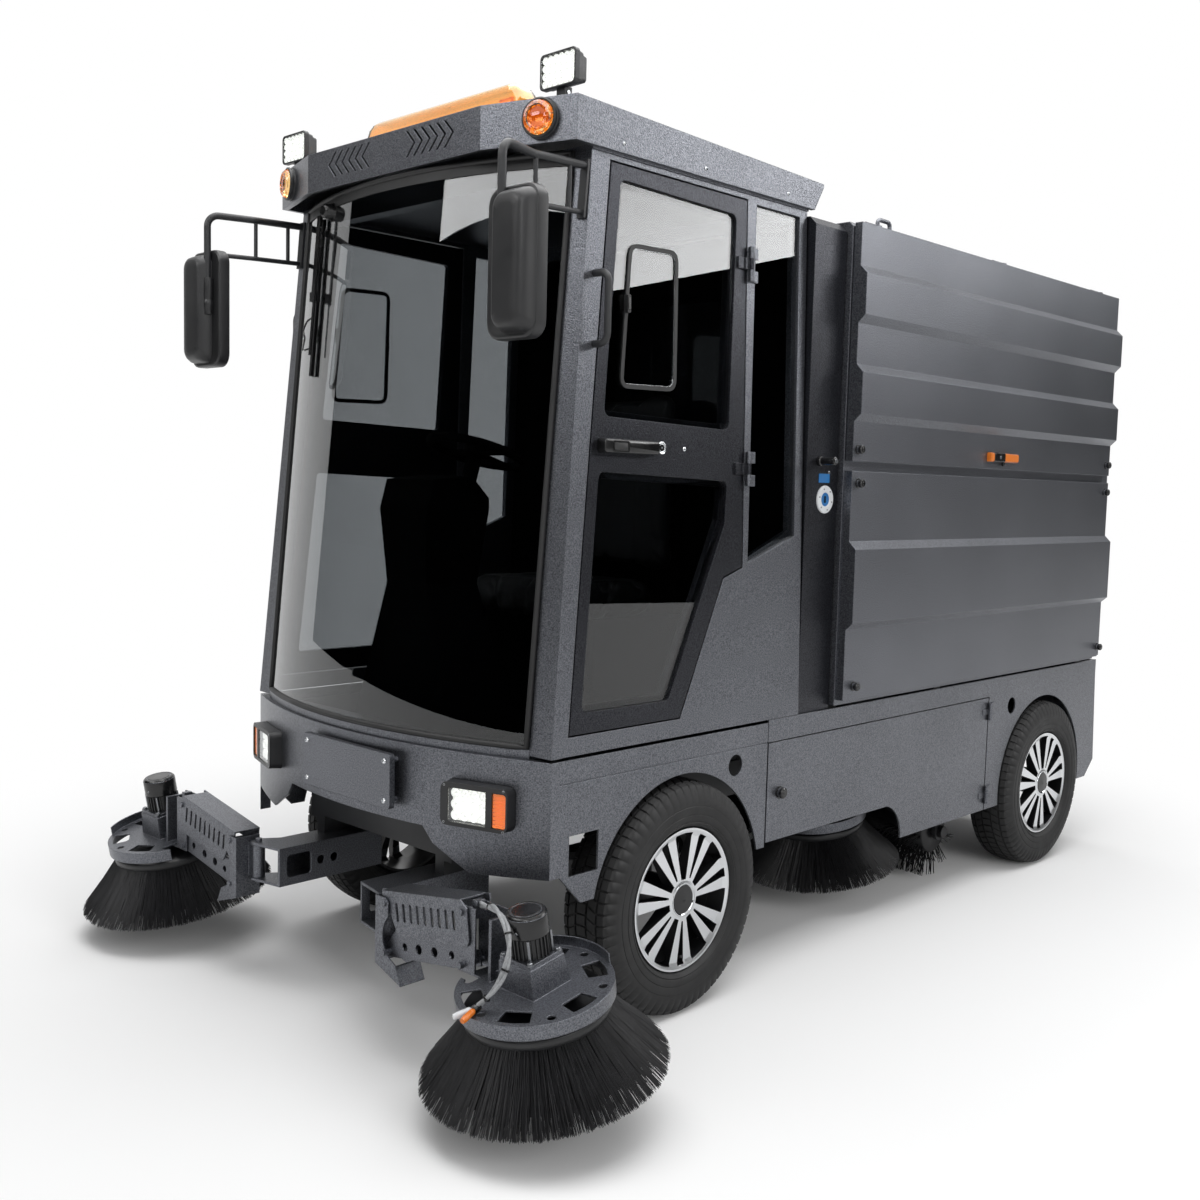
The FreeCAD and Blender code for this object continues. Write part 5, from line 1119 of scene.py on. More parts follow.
@dataclass
class BeaconBar:
    """Amber beacon bar: a clear hollow hood over lamp modules on a black tray."""

    place: Matrix
    half_long: float = 0.2995
    half_wide: float = 0.0445
    tall: float = 0.1006
    wall: float = 0.0024
    modules: int = 9
    pitch: float = 0.06
    module_tall: Flat = (0.062, 0.075)
    plate_aside: float = 0.024
    end_tilt: float = 24.0

    def hood(self, shrink: float) -> list[list[Point]]:
        """Give the hood's rings from its rim up.

        Args:
            shrink: How far they are drawn in: nothing outside, and by the wall inside.

        Returns:
            The rings.
        """
        shape = ((0.010, 0.0, 0.0, 0.02), (0.05, 0.004, 0.0015, 0.02), (0.078, 0.012, 0.005, 0.02),
                 (0.092, 0.022, 0.011, 0.018), (0.099, 0.036, 0.019, 0.014), (self.tall, 0.052, 0.028, 0.009),
                 (self.tall, 0.285, 0.0435, 0.0004))
        rings = []
        for level, (w, ends, sides, radius) in enumerate(shape):
            half_v = self.half_wide - sides - shrink * (level < len(shape) - 1)
            height = w - (shrink if level else 0)
            rings.append([(u, v, height) for u, v in rounded(self.half_long - ends - shrink, half_v, radius)])
        return rings

    def add_to(self, shell: Shell) -> None:
        """Add the hood, the tray and the modules.

        Args:
            shell: Gathers them.
        """
        shell.loft(self.hood(0.0) + self.hood(self.wall)[::-1], self.place, 3, False, True)
        shell.stack(lambda cut: rounded(self.half_long - cut, self.half_wide - cut, 0.02),
                    ((0.5, 1), (9.5, 0.3), (9.8, 3)), self.place)
        for number in range(self.modules):
            tall = self.module_tall[number % 4 == 0]
            mark = 2 if number % 3 else 1
            u = (number - (self.modules - 1) / 2) * self.pitch
            here = self.place @ Matrix.Translation((u, 0.0, 0.0))
            for v in (-self.plate_aside, self.plate_aside):
                shell.prism(rounded(0.019, 0.0015, 0.001, 2, (0.0, v)), 0.012, tall - 0.012, here, mark)
                shell.prism(rounded(0.0225, 0.003, 0.001, 2, (0.0, v * 0.84)), 0.0098, tall - 0.006, here, 1)
            shell.prism(rounded(0.006, 0.026, 0.001, 2, (0.03, 0.0)), 0.0098, 0.05, here, 0)
        for end in (-1, 1):
            here = self.place @ spun(end * self.end_tilt, "Y", (end * 0.272, 0.0, 0.0098))
            shell.prism(rounded(0.004, 0.03, 0.003, 3), 0.001, 0.056, here, 2)


def build_amber_lamps() -> None:
    """Build the round markers and the beacon bar in the CAD ones' places, as one piece."""
    shell = Shell()
    for side in Side:
        RoundMarker(mirrored(side) @ spun(16.8, "Z", (0.485, -1.1713, 2.061))).add_to(shell)
    BeaconBar(spun(-1.51, "X", (0.0, -1.036, 2.1042))).add_to(shell)
    shell.piece("amber_lamps_detailed", "chassis", "amber", [MOULDED, AMBER_CORE, AMBER_GLOW, AMBER], angle=30,
                stands_for=["amber_lamps"])


# ---- mirrors ----


@dataclass
class Mirror:
    """Door mirror: moulded shell with a raised back, clamp sleeve and silvered glass."""

    side: Side
    half_wide: float = 0.0748
    half_tall: float = 0.1508
    radius: float = 0.034

    def add_to(self, shell: Shell) -> None:
        """Add the mirror in its CAD head's place.

        Args:
            shell: Gathers its parts.
        """
        low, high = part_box("mirror_heads")
        middle = (low.z + high.z) / 2
        face = mirrored(self.side) @ facing(Matrix.Translation((high.x - 0.075, low.y, middle)))
        back = ((-60, 7.5), (-64.7, 5.5), (-64.7, 2), (-62.5, 0.3), (-43, 0),
                (-37, 1.2), (-34.5, 4.5), (-34, 8), (-35.5, 14))
        shell.stack(lambda cut: rounded(self.half_wide - cut, self.half_tall - cut, self.radius - cut * 0.6, 8),
                    back, face)
        crown = mm((-37, 52.5, 141.5, 26, 19.5), (-22, 50, 138.5, 26, 19.5), (-8, 42.5, 132.5, 26, 17.5),
                   (-3, 38.5, 128.5, 25, 16), (-0.7, 33.5, 123.5, 22, 14.5), (-0.4, 20, 108, 16, 14.5))
        shell.loft([[(u, v, w) for u, v in rounded(half_u, half_v, radius, 8, (shift, 0.0))]
                    for w, half_u, half_v, radius, shift in crown], face)
        shell.prism(rounded(self.half_wide - 0.0078, self.half_tall - 0.0078, 0.029, 8), -0.0622, -0.0595, face, 1)
        shell.lathe(mm((9.2, -78), (12.2, -77.5), (12.6, -74), (12.6, -24), (11.8, -22), (11.8, -20.5),
                       (12.6, -19), (12.6, -4), (10.8, 0), (10.8, 16), (0, 17)), 24,
                    face @ spun(90, "X", (-0.03, 0.0, -0.028)))


def build_mirrors() -> None:
    """Build both mirrors in place of the CAD heads."""
    shell = Shell()
    for side in Side:
        Mirror(side).add_to(shell)
    shell.piece("mirrors_detailed", "chassis", "black_plastic", [MOULDED, MIRROR], angle=28,
                stands_for=["mirror_heads"])


# ---- cab details ----

# Takes a side's own X, Y and Z to the truck's Y, Z and X.
SIDE_AXES = Matrix(((0, 0, 1, 0), (1, 0, 0, 0), (0, 1, 0, 0), (0, 0, 0, 1)))
# The sill where the cab's leaning side starts, and its lean in degrees.
SILL = (0.589, -0.756, 0.690)
SIDE_LEAN = -1.43


def cab_side(side: Side) -> Matrix:
    """Give the leaning cab side's place: X to the rear, Y up from the sill, Z outward."""
    return mirrored(side) @ spun(SIDE_LEAN, "Y", SILL) @ SIDE_AXES


def outward(side: Side, at: Point) -> Matrix:
    """Give a place on the upright side whose Z looks outward, X down and Y to the rear."""
    return mirrored(side) @ spun(90, "Y", at)


def softened(points: Sequence[Flat], radius: float, steps: int = 5) -> list[Flat]:
    """Round an outline's corners.

    Args:
        points: The outline's corners.
        radius: How far from a corner its round starts.
        steps: Steps in a corner.

    Returns:
        The rounded outline.
    """
    found = []
    count = len(points)
    for number in range(count):
        before, at, after = (Vector(points[(number + k) % count]) for k in (-1, 0, 1))
        start = at + (before - at).normalized() * radius
        end = at + (after - at).normalized() * radius
        for share in np.linspace(0.0, 1.0, steps + 1):
            spot = start.lerp(at, share).lerp(at.lerp(end, share), share)
            found.append((spot.x, spot.y))
    return found


def inset(points: Sequence[Flat], by: float) -> list[Flat]:
    """Move an outline's points towards its middle along its normals.

    Args:
        points: The outline.
        by: How far.

    Returns:
        The smaller outline.
    """
    area = sum(a[0] * b[1] - b[0] * a[1] for a, b in zip(points, list(points[1:]) + [points[0]]))
    turn = by if area > 0 else -by
    found = []
    for number, point in enumerate(points):
        before, after = Vector(points[number - 1]), Vector(points[(number + 1) % len(points)])
        along = (after - before).normalized()
        found.append((point[0] - turn * along.y, point[1] + turn * along.x))
    return found


def screw(shell: Shell, place: Matrix, radius: float, mark: int) -> None:
    """Add a domed screw head with a socket, its Z outward.

    Args:
        shell: Gathers the head.
        place: The seat's place.
        radius: Radius of the head.
        mark: Number of the finish.
    """
    shell.lathe([(0.0, radius * 0.25), (radius * 0.42, radius * 0.25), (radius * 0.48, radius * 0.62),
                 (radius * 0.75, radius * 0.56), (radius, radius * 0.2), (radius, -radius * 0.4),
                 (0.0, -radius * 0.4)], 14, place, mark)


def hex_bolt(shell: Shell, place: Matrix, radius: float, mark: int) -> None:
    """Add a hexagon bolt head on a washer, its Z outward.

    Args:
        shell: Gathers the head.
        place: The seat's place.
        radius: Radius of the head's corners.
        mark: Number of the finish.
    """
    shell.lathe([(0.0, 0.0012), (radius * 1.25, 0.0012), (radius * 1.25, -0.0015), (0.0, -0.0015)], 20, place, mark)
    shell.lathe([(0.0, radius * 0.78), (radius * 0.8, radius * 0.78), (radius, radius * 0.66), (radius, 0.001),
                 (0.0, 0.001)], 6, place, mark)


@dataclass
class DoorFittings:
    """What a cab door carries: the sliding window's frame, the handle's shell and the lock."""

    side: Side
    window: tuple[Flat, ...] = ((-0.234, 1.502), (-0.041, 1.507), (-0.038, 1.831), (-0.206, 1.826))
    wall: float = 0.0105
    handle: tuple[Flat, Flat] = ((-0.3075, 0.6665), (-0.1235, 0.6975))
    catch: Flat = (-0.213, 1.0)

    def build(self) -> None:
        """Build the fittings on the door."""
        place = cab_side(self.side)
        shell = Shell()
        corners = [(u, v - SILL[2]) for u, v in self.window]
        outer = softened(corners, 0.03, 6)
        shell.frame(outer, inset(outer, self.wall), -0.0083, -0.0042, place, 0)
        shell.frame(inset(outer, self.wall - 0.0012), inset(outer, self.wall + 0.0008), -0.0083, -0.0058, place, 2)
        for half_u, half_v, radius, steps, low, high, mark in (
                (0.0055, 0.02, 0.003, 4, -0.0082, 0.004, 0), (0.003, 0.014, 0.002, 3, 0.003, 0.0052, 1)):
            shell.prism(rounded(half_u, half_v, radius, steps, self.catch), low, high, place, mark)
        self.add_handle(shell, place)
        self.add_lock(shell, place)
        shell.piece(f"{self.side.word}_door_fittings", f"{self.side.word}_door", "black_plastic",
                    [SEAL, GLOSS_BLACK, CHROME, STEEL], bevel=0.0005, angle=34)

    def add_handle(self, shell: Shell, place: Matrix) -> None:
        """Add the handle's moulded shell with the paddle let into it.

        Args:
            shell: Gathers the handle.
            place: The cab side's place.
        """
        (low_u, low_v), (high_u, high_v) = self.handle
        middle = ((low_u + high_u) / 2, (low_v + high_v) / 2)
        half = ((high_u - low_u) / 2, (high_v - low_v) / 2)
        shell.stack(lambda cut: rounded(half[0] - cut, half[1] - cut, 0.008, 5, middle),
                    ((-4.5, -1.5), (3, -1.5), (12, 0), (20.5, 1.2), (22.2, 3.5)),
                    place, 1)
        u, v = low_u + 0.052, middle[1] - 0.001
        shell.frame(rounded(0.026, 0.0125, 0.004, 4, (u, v)), rounded(0.0225, 0.009, 0.003, 4, (u, v)),
                    0.0215, 0.0242, place, 1)
        shell.stack(lambda cut: rounded(0.0215 - cut, 0.0082 - cut / 3, 0.003, 4, (u + cut, v)),
                    ((21.8, 0), (22.8, 0), (23.6, 6)), place, 0)

    @staticmethod
    def add_lock(shell: Shell, place: Matrix) -> None:
        """Add the lock's cylinder and the small screw behind it.

        Args:
            shell: Gathers the lock.
            place: The cab side's place.
        """
        at = place @ Matrix.Translation((-0.102, 0.684, 0.0))
        shell.lathe(mm((0, 6.8), (8.5, 6.8), (8.8, 7.6), (9.6, 7.6), (10.4, 6.4), (11.2, 8.6), (13.5, 9),
                       (14.8, 7.6), (14.8, -1), (0, -1)), 40, at, 2)
        shell.prism(rounded(0.0011, 0.0042, 0.0006, 2), 0.0062, 0.0071, at, 0)
        shell.lathe(mm((0, 7.4), (2.2, 7.4), (2.2, 6), (0, 6)), 14, at, 3)
        screw(shell, place @ Matrix.Translation((-0.016, 0.6845, 0.0)), 0.0055, 2)


@dataclass
class WindshieldTrim:
    """Rubber round the bowed windshield, the dark band at its top and the wiper that hangs from it."""

    low_z: float = 0.704
    high_z: float = 2.005
    low_half: float = 0.519
    high_half: float = 0.508
    low_y: float = -1.207
    high_y: float = -1.096
    bow: float = 0.108
    tilt: float = 0.083
    rubber: float = 0.0068
    rubber_share: float = 0.996
    band: float = 0.032
    columns: int = 49
    rows: int = 26

    def spot(self, share: float, z: float, off: float = 0.0) -> Point:
        """Give a point on the glass.

        Args:
            share: Place across it, from -1 to 1.
            z: Height.
            off: Distance in front of the glass.

        Returns:
            The point.
        """
        t = (z - self.low_z) / (self.high_z - self.low_z)
        half = self.low_half + (self.high_half - self.low_half) * t
        corner = self.low_y + (self.high_y - self.low_y) * t
        radius = (half ** 2 + self.bow ** 2) / (2 * self.bow)
        x = share * half
        y = corner - (math.sqrt(radius ** 2 - x * x) - (radius - self.bow))
        lean = Vector((x / radius, -math.sqrt(1 - (x / radius) ** 2), self.tilt)).normalized()
        return tuple(Vector((x, y, z)) + lean * off)

    def build(self) -> None:
        """Build rubber, band and wiper."""
        shell = Shell()
        across = [float(s) for s in np.linspace(-1, 1, self.columns)]
        up = [float(z) for z in np.linspace(self.low_z + 0.004, self.high_z - 0.004, self.rows)]
        share = self.rubber_share
        around = [(s * share, up[0]) for s in across] + [(share, z) for z in up[1:-1]]
        around += [(-s * share, up[-1]) for s in across] + [(-share, z) for z in up[-2:0:-1]]
        shell.tube([self.spot(s, z, 0.001) for s, z in around], self.rubber, 10, 0, True)
        low = self.high_z - self.band
        shell.loft([[self.spot(s, z, off) for z, off in (
            (low, 0.0002), (low, 0.0022), (self.high_z, 0.0022), (self.high_z, 0.0002))] for s in across])
        self.add_wiper(shell)
        shell.piece("windshield_trim", "chassis", "black_plastic", [SEAL, GLOSS_BLACK, STEEL], angle=40)

    def add_wiper(self, shell: Shell) -> None:
        """Add the wiper: drive cap, flat arm, blade with its rubber and the washer hose.

        Args:
            shell: Gathers the wiper.
        """
        shell.lathe(mm((0, 30), (12, 30), (18, 24), (20, 6), (24, 0), (0, 0)), 24,
                    facing(Matrix.Translation(self.spot(-0.56, 1.962, 0.002))), 1)
        for at, start, end, low, high, wide, mark in (
                (-0.626, 1.955, 1.735, 0.020, 0.028, 0.0065, 1), (-0.626, 1.74, 1.60, 0.02, 0.024, 0.004, 1),
                (-0.648, 1.95, 1.548, 0.004, 0.013, 0.0042, 1), (-0.648, 1.952, 1.546, 0.0006, 0.0045, 0.0012, 0)):
            rings = []
            for height in np.linspace(start, end, 9):
                z = float(height)
                x, y, _ = self.spot(at, z)
                rings.append([(x - wide, y - high, z), (x + wide, y - high, z), (x + wide, y - low, z),
                              (x - wide, y - low, z)])
            shell.loft(rings, mark=mark)
        x, y, _ = self.spot(-0.63, 1.75)
        shell.prism(rectangle((x - 0.018, y - 0.024), (x + 0.006, y - 0.008)), 1.738, 1.762, mark=1)
        hose = ((-0.66, 1.70, 0.012), (-0.72, 1.69, 0.018), (-0.76, 1.668, 0.02), (-0.74, 1.648, 0.018),
                (-0.80, 1.632, 0.012), (-0.88, 1.626, 0.003))
        shell.tube(rounded_path([self.spot(*place) for place in hose], 4), 0.0026, 8, 1)


def rounded_path(points: Sequence[Point], steps: int) -> list[Vector]:
    """Give a smooth line through points.

    Args:
        points: Points to pass through.
        steps: Steps between two of them.

    Returns:
        Points of the line.
    """
    line = [Vector(p) for p in points]
    line = [line[0] * 2 - line[1]] + line + [line[-1] * 2 - line[-2]]
    found = []
    for number in range(1, len(line) - 2):
        a, b, c, d = line[number - 1:number + 3]
        for share in np.arange(steps) / steps:
            t = float(share)
            found.append(0.5 * ((2 * b) + (c - a) * t + (2 * a - 5 * b + 4 * c - d) * t * t
                                + (3 * b - a - 3 * c + d) * t ** 3))
    return found + [line[-2]]


@dataclass
class SeatCushion:
    """A sewn cushion, filled by a cloth simulation inside the CAD pads' space."""

    name: str
    low: Point
    high: Point
    channels: tuple[float, ...] = (-0.105, 0.105)
    shrink: float = 0.011
    cap: float = 0.024
    voxel: float = 0.006
    pressure: float = 4.0
    frames: int = 20
    stitch_half: float = 0.009
    stitch_deep: float = 0.005

    def start_shape(self) -> Shell:
        """Give the flat-sided block that the filling starts from, a little small.

        Returns:
            The block.
        """
        low, high = Vector(self.low), Vector(self.high)
        centre, half = (low + high) / 2, (high - low) / 2 - Vector((1, 1, 1)) * self.shrink
        flat, across = (1, 2) if half.y < half.z else (2, 1)
        shell = Shell()
        rings = []
        for share in (-1.0, -0.72, 0.0, 0.72, 1.0):
            cut = 0.014 * abs(share) ** 4
            ring = []
            for u, v in rounded(half.x - cut, half[across] - cut, 0.035, 6):
                spot = Vector((u, 0, 0))
                spot[across], spot[flat] = v, share * half[flat]
                ring.append(centre + spot)
            rings.append(ring)
        shell.loft(rings)
        return shell

    def build(self) -> None:
        """Build, fill and sew the cushion."""
        made = self.start_shape().piece(self.name, "chassis", "seat_cover", [VINYL], angle=60,
                                        stands_for=["seat_pads"])
        start = len(made.data.vertices)
        self.fill(made)
        self.sew(made)
        LOG.info("cushion %s grew from %d to %d points", self.name, start, len(made.data.vertices))

    def fill(self, made: bpy.types.Object) -> None:
        """Swell the cushion as stuffed cloth, no point further than the cap.

        Args:
            made: The cushion's piece, whose mesh changes.
        """
        scene = bpy.context.scene
        remesh = made.modifiers.new("cloth mesh", "REMESH")
        remesh.mode, remesh.voxel_size = "VOXEL", self.voxel
        self.settle(made)
        before = [v.co.copy() for v in made.data.vertices]
        cloth = made.modifiers.new("filling", "CLOTH")
        cloth.settings.use_pressure = True
        cloth.settings.uniform_pressure_force = self.pressure
        cloth.settings.effector_weights.gravity = 0.0
        cloth.point_cache.frame_start, cloth.point_cache.frame_end = 1, self.frames
        for number in range(1, self.frames + 1):
            scene.frame_set(number)
        self.settle(made)
        scene.frame_set(1)
        for vertex, was in zip(made.data.vertices, before):
            move = vertex.co - was
            if move.length > self.cap:
                vertex.co = was + move.normalized() * self.cap
            vertex.co = Vector([min(max(c, a), b) for c, a, b in zip(vertex.co, self.low, self.high)])

    @staticmethod
    def settle(made: bpy.types.Object) -> None:
        """Apply what the modifiers give to the cushion's mesh and take them off.

        Args:
            made: The cushion's piece, whose mesh changes.
        """
        depsgraph = bpy.context.evaluated_depsgraph_get()
        mesh = bpy.data.meshes.new_from_object(made.evaluated_get(depsgraph), depsgraph=depsgraph)
        made.modifiers.clear()
        made.data = mesh
        if not mesh.materials:
            mesh.materials.append(VINYL.material())
        mesh.polygons.foreach_set("use_smooth", [True] * len(mesh.polygons))

    def sew(self, made: bpy.types.Object) -> None:
        """Draw the sewn channels in and round everything by one subdivision.

        Args:
            made: The cushion's piece, whose mesh changes.
        """
        middle = (Vector(self.low) + Vector(self.high)) / 2
        for vertex in made.data.vertices:
            for channel in self.channels:
                away = (vertex.co.x - channel) / self.stitch_half
                if abs(away) < 2.5:
                    pull = math.exp(-away * away) * self.stitch_deep
                    vertex.co += Vector((0, *(middle - vertex.co)[1:])).normalized() * pull
        rounding = made.modifiers.new("round", "SUBSURF")
        rounding.render_levels = rounding.levels = 1


def build_cab() -> None:
    """Build what is fitted to doors, windshield and seat."""
    for side in Side:
        DoorFittings(side).build()
    WindshieldTrim().build()
    SeatCushion("seat_base_cushion", (-0.23, -0.796, 0.93), (0.23, -0.436, 1.03)).build()
    SeatCushion("seat_back_cushion", (-0.22, -0.434, 1.032), (0.22, -0.356, 1.56)).build()


# ---- body fittings ----


def knob(shell: Shell, place: Matrix, radius: float, reach: float, mark: int) -> None:
    """Add a moulded knob over a stud, its Z outward.

    Args:
        shell: Gathers the knob.
        place: The stud's foot.
        radius: Radius of the knob.
        reach: Its height.
        mark: Number of the finish.
    """
    shell.lathe([(0.0, reach), (radius * 0.35, reach), (radius * 0.4, reach - 0.0012),
                 (radius * 0.72, reach - 0.0012), (radius, reach - 0.004), (radius, reach * 0.45),
                 (radius * 0.8, reach * 0.3), (radius * 0.8, 0.002), (radius * 1.15, 0.0015),
                 (radius * 1.15, -0.001), (0.0, -0.001)], 24, place, mark)


@dataclass
class SideFittings:
    """Knobs and latch of one side: on its hatch, its fixed panel and its skirt door."""

    side: Side
    face: float = 0.624
    hatch: tuple[Flat, ...] = ((-0.113, 1.399), (1.495, 1.404))
    panel: tuple[Flat, ...] = ((-0.106, 1.308), (1.495, 1.307), (-0.087, 0.752), (1.509, 0.747))
    skirt: Point = (0.589, -0.363, 0.491)
    latch_z: float = 1.404

    def build(self) -> None:
        """Build the knobs and the latch, each set on its own body."""
        word = self.side.word
        shell = self.knobs(self.hatch)
        self.add_latch(shell)
        shell.piece(f"{word}_hatch_fittings", f"{word}_hatch", "black_plastic", [GLOSS_BLACK, ORANGE, STEEL],
                    bevel=0.0005)
        shell = self.knobs(self.panel)
        shell.piece(f"{word}_panel_knobs", "chassis", "black_plastic", [GLOSS_BLACK], bevel=0.0005)
        shell = Shell()
        knob(shell, outward(self.side, self.skirt), 0.0148, 0.0188, 0)
        shell.piece(f"{word}_service_door_knob", f"{word}_service_door", "black_plastic", [GLOSS_BLACK],
                    bevel=0.0005)

    def knobs(self, places: Sequence[Flat]) -> Shell:
        """Set knobs on the side's face.

        Args:
            places: Their places as (y, z).

        Returns:
            A shell that holds them.
        """
        shell = Shell()
        for y, z in places:
            knob(shell, outward(self.side, (self.face, y, z)), 0.0118, 0.0195, 0)
        return shell

    def add_latch(self, shell: Shell) -> None:
        """Add the latch's moulded body, its end caps, its rivet and its lever.

        Args:
            shell: Gathers the latch.
        """
        for low, high, half, top, mark in ((0.6105, 0.632, 0.0142, 15.7, 1), (0.632, 0.7, 0.0146, 17.2, 0),
                                           (0.7, 0.7915, 0.0138, 15.7, 1)):
            wide = (high - low) / 2
            shell.stack(lambda cut, half=half, wide=wide: rounded(half - cut, wide - cut * 0.6, 0.004, 4),
                        ((-0.5, 0), (top - 4, 0), (top, 3)),
                        outward(self.side, (self.face, (low + high) / 2, self.latch_z)), mark)
        place = outward(self.side, (self.face, 0.666, self.latch_z))
        shell.lathe(mm((0, 19.5), (4, 19.5), (5.2, 18.5), (5.2, 10), (0, 10)), 18, place, 2)
        lever = spun(180, "X", (self.face + 0.007, 0.703, 1.3895)) @ Matrix.Diagonal((1, 1, 0.4, 1))
        shell.lathe(mm((0, 30), (4, 30), (4.8, 29), (4.8, 0), (0, 0)), 16,
                    mirrored(self.side) @ lever, 0)


@dataclass
class BayFittings:
    """What is on the filter bay's side: latch bar, blank label, rivet and wash port."""

    side: Side
    face: float = 0.583

    def build(self) -> None:
        """Build the fittings on the bay."""
        shell = Shell()
        bar = outward(self.side, (self.face, -0.2345, 1.364))
        shell.lathe(mm((0, 56), (8.5, 56), (11.2, 53), (11.2, 46), (10.5, 45), (10.5, 12), (13.5, 10),
                       (13.5, -1), (0, -1)), 24, bar, 0)
        shell.lathe(mm((0, 57.2), (6.2, 57.2), (6.8, 56.2), (6.8, 50), (0, 50)), 20, bar, 3)
        plate = outward(self.side, (self.face, -0.2075, 1.319))
        shell.prism(rounded(0.012, 0.0245, 0.002, 3), -0.0002, 0.0012, plate, 2)
        screw(shell, outward(self.side, (self.face, -0.185, 1.3348)), 0.0045, 3)
        port = outward(self.side, (self.face, -0.2025, 1.2625))
        shell.lathe(mm((18.5, 3.5), (21.5, 5.2), (35.5, 4.5), (37.2, 3), (37.2, -1), (18.5, -1)), 56, port, 1,
                    True)
        shell.lathe(mm((0, 1.6), (17.5, 1.6), (18.6, 2.8), (18.6, -0.8), (0, -0.8)), 40, port, 2)
        shell.frame(rounded(0.009, 0.0035, 0.002, 3), rounded(0.0072, 0.0018, 0.001, 3), 0.0012, 0.0034, port, 0)
        for number in range(6):
            turn = port @ Matrix.Rotation(math.tau * number / 6 + 0.3, 4, "Z")
            screw(shell, turn @ Matrix.Translation((0.0285, 0, 0.0045)), 0.0024, 3)
        shell.piece(f"{self.side.word}_bay_fittings", "chassis", "black_plastic",
                    [GLOSS_BLACK, WHITE_NYLON, BLUE_NYLON, STEEL], angle=30)


@dataclass
class BodyScrews:
    """Screws that hold the number plate and the roof cap."""

    plate_places: tuple[Flat, ...] = ((-0.13, 0.548), (-0.13, 0.641), (0.186, 0.548), (0.186, 0.641))
    roof_places: tuple[float, ...] = (-1.0, -0.72, -0.395)
    roof_height: float = 2.03

    def build(self) -> None:
        """Build all screws of the body as one piece."""
        shell = Shell()
        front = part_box("front_bumper")[0].y
        for x, z in self.plate_places:
            screw(shell, facing(Matrix.Translation((x, front, z))), 0.0065, 0)
        for side in Side:
            for y in self.roof_places:
                screw(shell, outward(side, (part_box("roof_cap")[1].x, y, self.roof_height)), 0.0045, 0)
        shell.piece("body_screws", "chassis", "steel", [CHROME], angle=30)


def build_body() -> None:
    """Build latches, knobs, bay fittings and screws."""
    for side in Side:
        SideFittings(side).build()
    BayFittings(Side.LEFT).build()
    BodyScrews().build()


# ---- front brush heads ----


@dataclass
class BrushMotor:
    """The finned motor's shell, its capped top and its bolts, over a CAD brush head."""

    side: Side
    foot: float = 0.2495
    cap_low: float = 0.2945
    top: float = 0.3395
    radius: float = 0.0425
    fins: int = 26
    fin_shape: tuple[Flat, ...] = ((0.0, 0.0365), (0.3, 0.0365), (0.38, 0.0408), (0.62, 0.0408), (0.7, 0.0365))

    def build(self) -> None:
        """Build the motor's shell and the bolts of its head."""
        place = brush_place(f"{self.side.word}_brush")
        shell = Shell()
        outline = []
        for fin in range(self.fins):
            for share, radius in self.fin_shape:
                angle = math.tau * (fin + share) / self.fins
                outline.append((radius * math.cos(angle), radius * math.sin(angle)))
        shell.prism(outline, self.foot, self.cap_low + 0.001, place, 0)
        r, low, top = self.radius, self.cap_low, self.top
        shell.lathe([(r - 0.002, low - 0.002), (r, low), (r, top - 0.0075), (r - 0.0015, top - 0.0035),
                     (r - 0.005, top - 0.0002), (r - 0.009, top + 0.0003), (r - 0.0105, top - 0.0009),
                     (r - 0.0125, top - 0.0009), (r - 0.014, top + 0.0006), (0.0, top + 0.0008),
                     (0.0, low - 0.002)], 56, place, 1)
        for turn in (45, 135, 225, 315):
            around = place @ spun(turn, "Z")
            hex_bolt(shell, around @ Matrix.Translation((0.0535, 0.0, self.foot)), 0.0062, 2)
            shell.lathe(mm((0, 0), (2.8, 0), (2.8, 44), (0, 44)), 10,
                        around @ Matrix.Translation((0.0435, 0.0, self.foot)), 2)
        screw(shell, place @ spun(-75, "Z") @ spun(90, "Y", (self.radius, 0, 0.308)), 0.0034, 2)
        shell.piece(f"{self.side.word}_brush_motor", f"{self.side.word}_brush_head", "black_plastic",
                    [MOULDED, GLOSS_BLACK, STEEL], angle=30)


